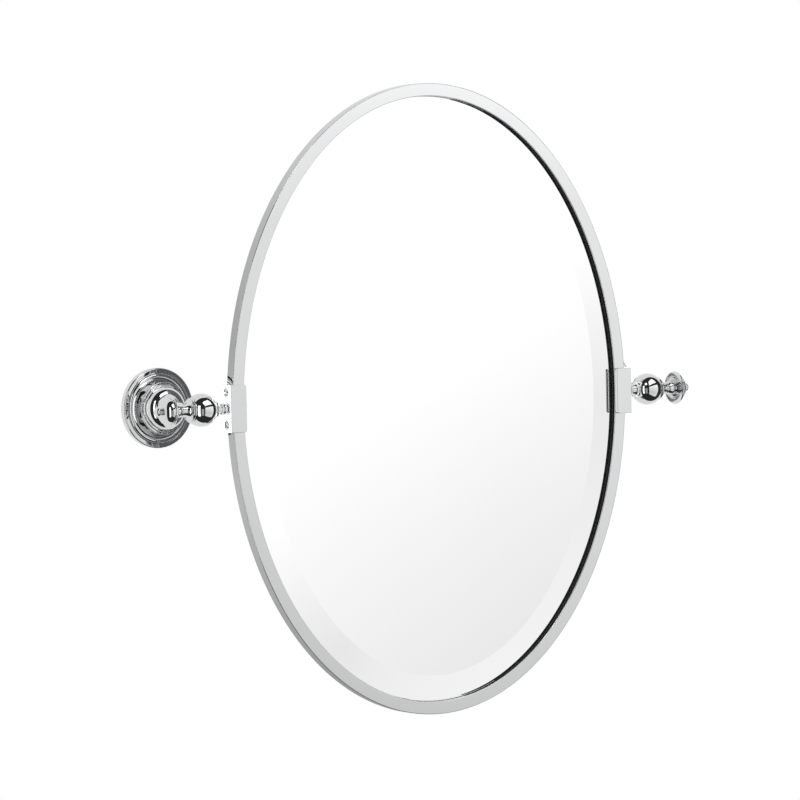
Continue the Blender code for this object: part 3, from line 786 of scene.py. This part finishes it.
def clamp(side, word):
    """A block that wraps the hoop, with countersinks for its two screws and a bore for the pivot."""
    low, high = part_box(f"{word}_clamp")
    outside = max(abs(low.x), abs(high.x))
    inner = min(abs(low.x), abs(high.x))
    rear = HOOP_FRONT + HOOP_DEPTH + (HOOP_FRONT - low.y - CLAMP_FRONT) + CLIP_SHEET
    outline = [
        (inner, low.y),
        (outside, low.y),
        (outside, high.y),
        (inner, high.y),
        (inner, rear),
        (outside - CLAMP_SIDE, rear),
        (outside - CLAMP_SIDE, low.y + CLAMP_FRONT),
        (inner, low.y + CLAMP_FRONT),
    ]
    name = f"{word}_clamp_block"
    made = link(name, prism_mesh(name, [(side * x, y) for x, y in outline], high.z - low.z), CHROME)
    shape = bmesh.new()
    shape.from_mesh(made.data)
    corners = []
    for edge in shape.edges:
        first, second = (vert.co for vert in edge.verts)
        at_inner_end = abs(abs(first.x) - inner) < EDGE and abs(abs(second.x) - inner) < EDGE
        if at_inner_end and abs(first.z - second.z) < EDGE:
            corners.append(edge)
    bmesh.ops.bevel(shape, geom=corners, offset=CLAMP_CORNER, segments=8, affect="EDGES", profile=0.5)
    hard = [edge for edge in shape.edges if edge.is_manifold and edge.calc_face_angle() > radians(30)]
    bmesh.ops.bevel(shape, geom=hard, offset=CLAMP_EDGE, segments=3, affect="EDGES", profile=0.5,
                    clamp_overlap=True)
    made.data = to_mesh(name, shape)
    made.data.materials.append(CHROME)
    depth = 2 * CLAMP_SIDE
    pin = radius_of(f"{word}_pivot_pin") + GAP
    drill(made, rod(pin, depth), outwards((side * outside, ball_centre(word).y, 0), side), 48)
    for level in ("upper", "lower"):
        where = middle(f"{word}_clamp_screw_{level}")
        head = SCREW_HEAD_RADIUS + GAP / 2
        sink = [(0, -depth), (SCREW_RADIUS + GAP, -depth), (SCREW_RADIUS + GAP, -SCREW_HEAD_HEIGHT),
                (head, 0), (head + GAP, GAP), (0, GAP)]
        drill(made, sink, outwards((side * outside, where.y, where.z), side), 64)
    smooth(made, radians(30))
    return place(made, "mirror", "chrome", f"{word}_clamp")


def clamp_screws():
    """Four slotted countersunk screws with raised heads."""
    rim = SCREW_HEAD_RADIUS - SCREW_CROWN
    outline = [(0, -SCREW_LENGTH), (SCREW_RADIUS, -SCREW_LENGTH), (SCREW_RADIUS, -SCREW_HEAD_HEIGHT),
               (rim, -SCREW_CROWN)]
    outline += arc((0, -SCREW_CROWN), (rim, SCREW_CROWN), 0.0, 0.25, 16)
    item = turned("screw", outline, Matrix(), CHROME, 64, CARVED_EDGE)
    reach = 2 * SCREW_HEAD_RADIUS
    half = SLOT_WIDTH / 2
    slot = [(-reach, -half), (reach, -half), (reach, half), (-reach, half)]
    carve(item, prism_mesh("slot", slot, 2 * SLOT_DEPTH))
    points = []
    nodes = []
    for side, word in SIDES:
        for level, turn in SLOT_TURNS.items():
            node = f"{word}_clamp_screw_{level}"
            low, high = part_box(node)
            outside = max(abs(low.x), abs(high.x))
            where = Vector((side * outside, (low.y + high.y) / 2, (low.z + high.z) / 2))
            face = Matrix.Rotation(side * pi / 2, 3, "Y") @ Matrix.Rotation(2 * pi * turn, 3, "Z")
            points.append((where, face))
            nodes.append(node)
    made = smooth(scatter("clamp_screws", item, points, CHROME), radians(30))
    return place(made, "mirror", "chrome", *nodes)


def pivot_boss(side, word):
    """The small bead on the clamp."""
    low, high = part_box(f"{word}_pivot_boss")
    centre = ball_centre(word)
    start, end = reach_of(f"{word}_pivot_boss", Vector((0, 0, 0)), side)
    radius = (high.z - low.z) / 2
    bore = radius_of(f"{word}_pivot_pin") + GAP
    half = (end - start) / 2
    bulge = half * 0.8
    outline = [(bore, end - start), (bore, 0.0)]
    outline += arc((radius - bulge, half), (bulge, half), -0.25, 0.25, 14)
    where = outwards((side * start, centre.y, 0), side)
    return turned_piece(word, "pivot_bead", "pivot_boss", outline, where, 64, body="mirror")


# ---- brackets
def ball(side, word):
    """A ball with flats for its three collars."""
    centre = ball_centre(word)
    radius = radius_of(f"{word}_ball")
    inner, outer = reach_of(f"{word}_ball", centre, side)
    bore = SPIGOT + GAP
    steps = 56
    outline = [(bore, inner)]
    for step in range(steps + 1):
        height = inner + (outer - inner) * step / steps
        outline.append((sqrt(max(radius ** 2 - height ** 2, 0.0)), height))
    outline.append((bore, outer))
    made = turned(f"{word}_turned_ball", outline, outwards(centre, side), CHROME, 112, CARVED_EDGE)
    flat = sqrt(radius ** 2 - POST_COLLAR ** 2)
    to_wall = Matrix.Translation(centre) @ Matrix.Rotation(-pi / 2, 4, "X")
    seat = POST_COLLAR + GAP
    recess = [(0, 0), (bore, 0), (bore, flat), (seat, flat), (seat, 2 * radius), (0, 2 * radius)]
    drill(made, recess, to_wall, 96)
    smooth(made)
    return place(made, "wall_brackets", "chrome", f"{word}_ball")


def inner_neck(side, word):
    """Collar and stem between the ball and the mirror."""
    centre = ball_centre(word)
    ball_radius = radius_of(f"{word}_ball")
    radius = radius_of(f"{word}_inner_neck")
    start, end = reach_of(f"{word}_inner_neck", centre, -side)
    bore = radius_of(f"{word}_pivot_pin") + GAP
    seat = sqrt(ball_radius ** 2 - radius ** 2) + 2 * GAP
    half = COLLAR / 2
    outline = [(bore, start), (SPIGOT, start), (SPIGOT, seat)]
    outline += collar(radius, seat)
    fillet = (radius - half - STEM, end - seat - COLLAR)
    outline += arc((STEM + fillet[0], end), fillet, 0.75, 0.5, 10)
    outline += [(bore, end)]
    return turned_piece(word, "inner_stem", "inner_neck", outline, outwards(centre, -side), 96)


def friction_washer(side, word):
    centre = ball_centre(word)
    radius = radius_of(f"{word}_friction_washer")
    start, end = reach_of(f"{word}_friction_washer", centre, -side)
    bore = radius_of(f"{word}_pivot_pin") + GAP
    outline = [(bore, start), (radius, start), (radius, end), (bore, end)]
    return turned_piece(word, "washer", "friction_washer", outline, outwards(centre, -side), 64,
                        finish=NYLON, slot="nylon")


def disc_seat(side, word):
    """Where the bead ends and the end disc's boss starts, outwards from the ball's centre."""
    return reach_of(f"{word}_end_disc", ball_centre(word), side)[0] + DISH


def outer_baluster(side, word):
    """Collar, a second thinner collar, a hollow cone down to the neck, and a bead."""
    centre = ball_centre(word)
    radius = radius_of(f"{word}_outer_baluster")
    start, end = reach_of(f"{word}_outer_baluster", centre, side)
    seat = sqrt(radius_of(f"{word}_ball") ** 2 - radius ** 2) + 2 * GAP
    bead_end = disc_seat(side, word) - GAP
    half = COLLAR / 2
    second = radius - 1.3 * COLLAR
    shoulder = seat + 2 * COLLAR
    neck_at = seat + 0.0096
    bead = 0.0062
    outline = [(0, start), (SPIGOT, start), (SPIGOT, seat)]
    outline += collar(radius, seat)
    outline.append((second, seat + COLLAR))
    outline += collar(second + half, seat + COLLAR, 8)
    outline += arc((second - half, neck_at), (second - half - STEM, neck_at - shoulder), 0.75, 0.5, 14)
    ring_end = neck_at + 1.3 * COLLAR
    outline += arc((STEM, (neck_at + ring_end) / 2), (half, (ring_end - neck_at) / 2), -0.25, 0.25, 8)
    outline += arc((STEM, (ring_end + bead_end) / 2), (bead - STEM, (bead_end - ring_end) / 2), -0.25, 0.25,
                   18)
    outline += [(END_SPIGOT, bead_end), (END_SPIGOT, end), (0, end)]
    return turned_piece(word, "baluster", "outer_baluster", outline, outwards(centre, side), 112,
                        SOFT_EDGE)


def end_disc(side, word):
    """A disc with a rolled rim that stands back towards the ball, and a stepped dome on its outer face."""
    centre = ball_centre(word)
    radius = radius_of(f"{word}_end_disc")
    rim, end = reach_of(f"{word}_end_disc", centre, side)
    seat = rim + DISH
    bore = END_SPIGOT + GAP
    lip = 0.0006
    step = rim + DISC_RIM
    top = radius_of(f"{word}_finial")
    roll = (radius - BOSS_RADIUS - lip) / 2
    outline = [(bore, seat), (BOSS_RADIUS, seat)]
    outline += arc((radius - roll, seat), (roll, DISH), -0.5, 0.0, 18)
    outline += arc((radius - lip, step - lip), (lip, lip), 0.0, 0.25, 6)
    outline += [(radius - 1.2 * COLLAR, step), (radius - 1.4 * COLLAR, step + lip)]
    outline += [(radius - 2 * COLLAR, step + lip)]
    outline += arc((top, step + lip), (radius - 2.1 * COLLAR - top, end - step - lip), 0.0, 0.25, 18)
    outline.append((bore, end))
    return turned_piece(word, "dished_disc", "end_disc", outline, outwards(centre, side),
                        edge=FINE_EDGE)


def finial(side, word):
    """A small button on a waisted foot."""
    centre = ball_centre(word)
    radius = radius_of(f"{word}_finial")
    start, end = reach_of(f"{word}_finial", centre, side)
    seat = reach_of(f"{word}_end_disc", centre, side)[1] + GAP
    foot = 0.7 * radius
    half = (end - seat) * 0.44
    outline = [(0, start), (END_SPIGOT, start), (END_SPIGOT, seat), (foot, seat)]
    outline += arc((0, end - half), (radius, half), -0.13, 0.25, 20)
    return turned_piece(word, "button", "finial", outline, outwards(centre, side), 80, FINE_EDGE)


def from_wall(word):
    centre = ball_centre(word)
    return Matrix.Translation((centre.x, 0, centre.z)) @ Matrix.Rotation(pi / 2, 4, "X")


def post(side, word):
    """The turned post between flange and ball, heights from the wall."""
    centre = ball_centre(word)
    low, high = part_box(f"{word}_post")
    foot_radius = (high.z - low.z) / 2
    foot = -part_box(f"{word}_wall_flange")[0].y + GAP
    top = -centre.y - sqrt(radius_of(f"{word}_ball") ** 2 - POST_COLLAR ** 2) - 2 * GAP
    half = COLLAR / 2
    base = foot + COLLAR
    rise = top - COLLAR - base
    outline = [(0, -high.y), (POST_SPIGOT, -high.y), (POST_SPIGOT, foot)]
    outline += collar(foot_radius, foot)
    outline += [(POST_BELLY + half, base), (POST_BELLY, base + rise * 0.1)]
    for step in range(1, 13):
        narrowing = 0.5 - 0.5 * cos(pi * step / 12)
        radius = POST_BELLY - (POST_BELLY - POST_WAIST) * narrowing
        outline.append((radius, base + rise * (0.1 + 0.65 * step / 12)))
    flare = (POST_COLLAR - COLLAR - POST_WAIST, rise * 0.25)
    outline += arc((POST_WAIST + flare[0], top - COLLAR), flare, 0.5, 0.25, 8)[1:]
    outline += collar(POST_COLLAR, top - COLLAR)
    outline += [(SPIGOT, top), (SPIGOT, -low.y), (0, -low.y)]
    return turned_piece(word, "turned_post", "post", outline, from_wall(word), 96, SOFT_EDGE)


def flange_outline(radius, height):
    """Rim, flat, bead, cove, stepped collar and dome, from the wall outwards."""
    round_over = 0.0014
    step_round = 0.0007
    bead_at = radius - 0.0071
    groove = bead_at + FLANGE_BEAD + 0.0009
    outline = [(radius, 0.0)]
    outline += arc((radius - round_over, FLANGE_RIM - round_over), (round_over, round_over), 0.0, 0.25, 8)
    outline += [(groove, FLANGE_RIM), (bead_at + FLANGE_BEAD, FLANGE_RIM - 0.0007)]
    outline += arc((bead_at, FLANGE_RIM - 0.0004), (FLANGE_BEAD, 0.0018), 0.0, 0.5, 16)
    level = FLANGE_FIRST_STEP
    foot = bead_at - FLANGE_BEAD - 0.0004
    outline += [(foot, FLANGE_RIM - 0.0003)]
    outline += arc((foot, level), (foot - FLANGE_STEPS[0], level - FLANGE_RIM), 0.75, 0.5, 14)[1:]
    for wide, narrow in zip(FLANGE_STEPS, FLANGE_STEPS[1:]):
        level += FLANGE_STEP_HEIGHT
        outline += arc((wide - step_round, level - step_round), (step_round, step_round), 0.0, 0.25, 5)
        outline += [(narrow, level)]
    top = 0.0100
    outline += arc((top, level), (FLANGE_STEPS[-1] - top, height - level), 0.0, 0.25, 20)
    return outline


def wall_flange(side, word):
    """Hollow stepped flange with the hole of its grub screw."""
    low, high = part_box(f"{word}_wall_flange")
    radius = radius_of(f"{word}_wall_flange")
    height = high.y - low.y
    under = PLATE_THICKNESS + 2 * GAP
    outline = flange_outline(radius, height)
    outline += [
        (POST_BORE, height),
        (POST_BORE, height - FLANGE_WALL),
        (0.0100, height - FLANGE_WALL * 1.3),
        (0.0174, 0.0141),
        (0.0198, 0.0113),
        (0.0198, under),
        (radius - FLANGE_WALL, under),
        (radius - FLANGE_WALL, 0.0),
    ]
    made = turned(f"{word}_stepped_flange", outline, from_wall(word), CHROME, SEGMENTS, SOFT_EDGE)
    grub = f"{word}_flange_grub_screw"
    hole = radius_of_grub(grub) + GAP
    where = middle(grub)
    down = Matrix.Translation(where) @ Matrix.Rotation(pi, 4, "X")
    depth = radius / 4
    drill(made, rod(hole, depth), down, 32)
    smooth(made)
    return place(made, "wall_brackets", "chrome", f"{word}_wall_flange")


def radius_of_grub(node):
    low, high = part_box(node)
    return (high.x - low.x) / 2


def grub_screw(side, word):
    """A headless screw with a hexagon socket, under the flange."""
    node = f"{word}_flange_grub_screw"
    low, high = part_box(node)
    radius = radius_of_grub(node)
    length = high.z - low.z
    down = Matrix.Translation((middle(node).x, middle(node).y, high.z)) @ Matrix.Rotation(pi, 4, "X")
    outline = [(0, 0), (radius, 0), (radius, length), (0, length)]
    made = turned(f"{word}_grub_screw", outline, down, STEEL, 48)
    socket = arc((0, 0), (radius * 0.55, radius * 0.55), 0.0, 5 / 6, 5)
    carve(made, prism_mesh("socket", socket, length, down @ Matrix.Translation((0, 0, length))))
    smooth(made, radians(30))
    return place(made, "wall_brackets", "spring_steel", node)


def wall_plate(side, word):
    """Cast fixing plate with two countersunk holes and a boss for the post."""
    node = f"{word}_wall_plate"
    low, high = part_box(node)
    radius = (high.z - low.z) / 2
    boss_height = high.y - low.y
    outline = [(0, 0), (radius, 0), (radius, PLATE_THICKNESS), (PLATE_BOSS, PLATE_THICKNESS),
               (PLATE_BOSS, boss_height), (POST_BORE, boss_height), (POST_BORE, PLATE_THICKNESS),
               (0, PLATE_THICKNESS)]
    made = turned(f"{word}_cast_plate", outline, from_wall(word), ZINC, 112, 0.0004)
    cutter = [(0, -PLATE_THICKNESS), (PLATE_HOLE, -PLATE_THICKNESS),
              (PLATE_HOLE, PLATE_THICKNESS - PLATE_SINK_DEPTH), (PLATE_SINK, PLATE_THICKNESS),
              (PLATE_SINK, 2 * PLATE_THICKNESS), (0, 2 * PLATE_THICKNESS)]
    for across in PLATE_HOLES_AT:
        drill(made, cutter, from_wall(word) @ Matrix.Translation((across, 0, 0)), 48)
    smooth(made)
    return place(made, "wall_brackets", "casting", node)


def kept_nodes():
    """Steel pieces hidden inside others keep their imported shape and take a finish."""
    for side, word in SIDES:
        for piece in ("joint_strap", "pivot_pin"):
            mesh = frame["nodes"][f"{word}_{piece}"].data
            mesh.materials.clear()
            mesh.materials.append(STEEL)


# ---- studio
RIGHT = Vector((cos(CAMERA_AZIMUTH), sin(CAMERA_AZIMUTH), 0))
NEAR = Vector((sin(CAMERA_AZIMUTH), -cos(CAMERA_AZIMUTH), 0))


def studio_point(right, near, up):
    """A point of the studio, measured right of the object, towards the camera and up."""
    return right * RIGHT + near * NEAR + Vector((0, 0, up))


def glow(name, strength):
    """An emissive, see-through finish; strength is a number or a function of the tree."""
    made = bpy.data.materials.new(name)
    made.use_nodes = True
    made.node_tree.nodes.clear()
    tree = Tree(made.node_tree)
    value = strength(tree) if callable(strength) else strength
    light = tree.add("ShaderNodeEmission", {}, {"Color": (1, 1, 1, 1), "Strength": value})
    clear = tree.add("ShaderNodeBsdfTransparent")
    both = tree.add("ShaderNodeAddShader", {}, {0: light, 1: clear})
    tree.add("ShaderNodeOutputMaterial", {}, {"Surface": both})
    return made


def only_reflected(made):
    """A studio card that only shows in reflections."""
    made.visible_camera = False
    made.visible_diffuse = False
    made.visible_shadow = False
    made.visible_transmission = False
    made.visible_volume_scatter = False
    return made


def light_only(cards, pieces, state="INCLUDE"):
    """Cards that light only the given pieces, or with EXCLUDE all but those."""
    chosen = bpy.data.collections.new(f"{cards[0].name}_light")
    for piece in pieces:
        chosen.objects.link(piece)
    for linked in chosen.collection_objects:
        linked.light_linking.link_state = state
    for made in cards:
        made.light_linking.receiver_collection = chosen


def card(name, corners, finish):
    mesh = bpy.data.meshes.new(name)
    mesh.from_pydata([tuple(corner) for corner in corners], [], [tuple(range(len(corners)))])
    return only_reflected(link(name, mesh, finish))


def upright_card(name, first, second, low, high, finish):
    """An upright card between two (right, near) points."""
    corners = [studio_point(*first, low), studio_point(*second, low), studio_point(*second, high),
               studio_point(*first, high)]
    return card(name, corners, finish)


def object_axes(tree):
    """Object coordinates as signals: X, depth and height."""
    parts = tree.add("ShaderNodeSeparateXYZ", {}, {"Vector": tree.object_place()})
    return [Signal(tree, parts.socket.node.outputs[axis]) for axis in "XYZ"]


def levels(tree, value, low, high, *steps):
    """Brightness that changes smoothly with a value: steps are (value, brightness)."""
    stops = [((at - low) / (high - low), grey(brightness)) for at, brightness in steps]
    share = (value - low) / (high - low)
    return tree.add("ShaderNodeValToRGB", {"stops": stops}, {"Fac": share})


def window_glow(tree):
    """The window's light: brightest high up, and a little dimmer at its far end."""
    across, depth, height = object_axes(tree)
    by_height = levels(tree, height, WINDOW_FOOT, WINDOW_TOP, (-0.64, 0.91), (-0.4, 0.79), (-0.26, 0.88),
                       (-0.15, 0.95), (0.0, 1.04), (0.15, 1.09), (0.31, 1.3), (0.9, 1.6))
    far_end = tree.ramp(across, 0.36, 0.72, 0.91, 1.0)
    near_end = tree.ramp(across, 0.92, 1.03, 1.0, 0.92)
    return by_height * far_end * near_end


def window():
    """A tall two-pane window on the right, with its bar well above the mirror."""
    bright = glow("window_light", window_glow)
    return [upright_card("window_lower", *WINDOW_ENDS, WINDOW_FOOT, WINDOW_BAR[0], bright),
            upright_card("window_upper", *WINDOW_ENDS, WINDOW_BAR[1], WINDOW_TOP, bright)]


def low_cards():
    """A bright strip, and something grey and low like a chair, in front of the mirror."""
    return [upright_card("strip", (-0.43, 0.94), (-0.19, 0.94), -0.65, 0.5, glow("strip_light", 2.2)),
            upright_card("chair", (-0.06, 1.12), (0.24, 1.12), -0.7, 0.16, glow("chair_light", 0.4))]


def round_light():
    bright = glow("round_light", 3.0)
    centre = studio_point(0.10, 0.54, 0.50)
    towards = -centre.normalized()
    across = towards.cross(Vector((0, 0, 1))).normalized()
    up = across.cross(towards)
    turns = [2 * pi * step / 32 for step in range(32)]
    rim = [cos(turn) * across + sin(turn) * up for turn in turns]
    return card("round", [centre + ROUND_RADIUS * point for point in rim], bright)


def clamp_cards():
    """Small bright cards beside the clamps, which only the clamps' outer sides see."""
    bright = glow("clamp_side_light", 1.35)
    made = []
    for side, word in SIDES:
        low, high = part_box(f"{word}_clamp")
        x = side * (max(abs(low.x), abs(high.x)) + CLAMP_CARD_GAP)
        back = high.y + 4 * CLAMP_CARD_GAP
        low_z = low.z - CLAMP_CARD_GAP
        high_z = high.z + CLAMP_CARD_GAP
        corners = [(x, low.y, low_z), (x, back, low_z), (x, back, high_z), (x, low.y, high_z)]
        made.append(card(f"{word}_clamp_card", corners, bright))
    return made


def shaded_glow(tree):
    """The wall close behind the mirror: darkest below, where the mirror keeps the window's light off it."""
    across, depth, height = object_axes(tree)
    return levels(tree, height, -0.5, 0.5, (-0.32, 0.31), (-0.22, 0.5), (-0.1, 0.64), (-0.02, 0.6),
                  (0.06, 0.5), (0.13, 0.55), (0.24, 0.7), (0.33, WALL_LIGHT))


def wall(name, finish, y):
    """The light wall behind the brackets, as the polished pieces see it."""
    half = WALL_HALF
    corners = [(-half, y, -half), (half, y, -half), (half, y, half), (-half, y, half)]
    return card(name, corners, finish)


def room_glow(tree):
    """Pale room: white above, softly greyer downwards and to the right, lighter again near the ground."""
    across, depth, height = object_axes(tree)
    cloud = tree.noise(tree.object_place(), 0.9, 2.0)
    level = height - 0.65 * (across - 0.57 * ROOM_RADIUS) + 0.25 * (cloud - 0.5)
    by_level = levels(tree, level, -1.6, 0.4, (-1.1, 0.92), (-0.85, 0.885), (-0.47, 0.83), (-0.3, 0.90),
                      (-0.12, 0.99), (0.03, 1.06))
    side_dim = tree.ramp(across, 0.36 * ROOM_RADIUS, 0.46 * ROOM_RADIUS, 0.96, 1.0)
    return by_level * side_dim


def glass_surroundings(glass):
    """A pale front room that only the glass sees; polished metal finds it dark."""
    shape = bmesh.new()
    bmesh.ops.create_uvsphere(shape, u_segments=64, v_segments=32, radius=ROOM_RADIUS)
    behind = [vert for vert in shape.verts if vert.co.y > 0.1]
    bmesh.ops.delete(shape, geom=behind, context="VERTS")
    mesh = bpy.data.meshes.new("front_room")
    shape.to_mesh(mesh)
    shape.free()
    room = only_reflected(link("front_room", mesh, glow("front_room_light", room_glow)))
    light_only([room], [glass])


def floor():
    """A plain pale floor, below the mirror."""
    made, tree, shader = material("pale_floor")
    speckle = tree.noise(tree.object_place(), 60.0, 4.0)
    tree.feed(shader["Base Color"], tree.mix(speckle, grey(0.92), grey(0.95)))
    shader["Roughness"].default_value = 0.9
    shape = bmesh.new()
    bmesh.ops.create_circle(shape, cap_ends=True, segments=96, radius=FLOOR_RADIUS)
    bmesh.ops.translate(shape, verts=shape.verts, vec=(0, 0, FLOOR_LEVEL))
    mesh = bpy.data.meshes.new("floor")
    shape.to_mesh(mesh)
    shape.free()
    made_floor = link("floor", mesh, made)
    made_floor.visible_glossy = False


def world():
    """White all round for the eye and for soft light, dark in reflections."""
    scene = bpy.context.scene
    scene.world = bpy.data.worlds.new("studio")
    scene.world.use_nodes = True
    scene.world.node_tree.nodes.clear()
    tree = Tree(scene.world.node_tree)
    glossy = tree.add("ShaderNodeLightPath", output=3)
    diffuse = tree.add("ShaderNodeLightPath", output=2)
    brightness = 1.0 - 0.97 * glossy + 0.07 * diffuse
    light = tree.add("ShaderNodeBackground", {}, {"Color": (1, 1, 1, 1), "Strength": brightness})
    tree.add("ShaderNodeOutputWorld", {}, {"Surface": light})
    scene.view_settings.view_transform = "Standard"
    scene.view_settings.look = "None"


def camera():
    data = bpy.data.cameras.new("camera")
    data.lens = CAMERA_LENS
    data.sensor_width = CAMERA_SENSOR
    data.clip_end = 100
    made = bpy.data.objects.new("camera", data)
    bpy.context.scene.collection.objects.link(made)
    back = NEAR * cos(CAMERA_ELEVATION) + Vector((0, 0, sin(CAMERA_ELEVATION)))
    up = back.cross(RIGHT)
    right_rolled = RIGHT * cos(CAMERA_ROLL) - up * sin(CAMERA_ROLL)
    up_rolled = RIGHT * sin(CAMERA_ROLL) + up * cos(CAMERA_ROLL)
    turn = Matrix((right_rolled, up_rolled, back)).transposed().to_4x4()
    target = Vector((CAMERA_TARGET_X, ball_centre("left").y, CAMERA_TARGET_Z))
    made.matrix_world = Matrix.Translation(target + back * CAMERA_DISTANCE) @ turn
    bpy.context.scene.camera = made


# ---- assembly
camera()
world()
floor()
hoop_piece = frame_hoop()
glass_piece = mirror_glass()
glass_seal()
backing_board()
board_clips()
clamp_screws()
clamps = [clamp(side, word) for side, word in SIDES]
for side, word in SIDES:
    for build in (pivot_boss, ball, inner_neck, friction_washer, outer_baluster, end_disc, finial, post,
                  wall_flange, grub_screw, wall_plate):
        build(side, word)
kept_nodes()
light_only([*window(), *low_cards(), round_light()], [glass_piece], "EXCLUDE")
light_only([wall("shaded_wall", glow("shaded_wall_light", shaded_glow), SHADED_WALL_AT)], [hoop_piece])
light_only([wall("wall", glow("wall_light", WALL_LIGHT), WALL_AT)], [hoop_piece, glass_piece], "EXCLUDE")
light_only(clamp_cards(), clamps)
glass_surroundings(glass_piece)
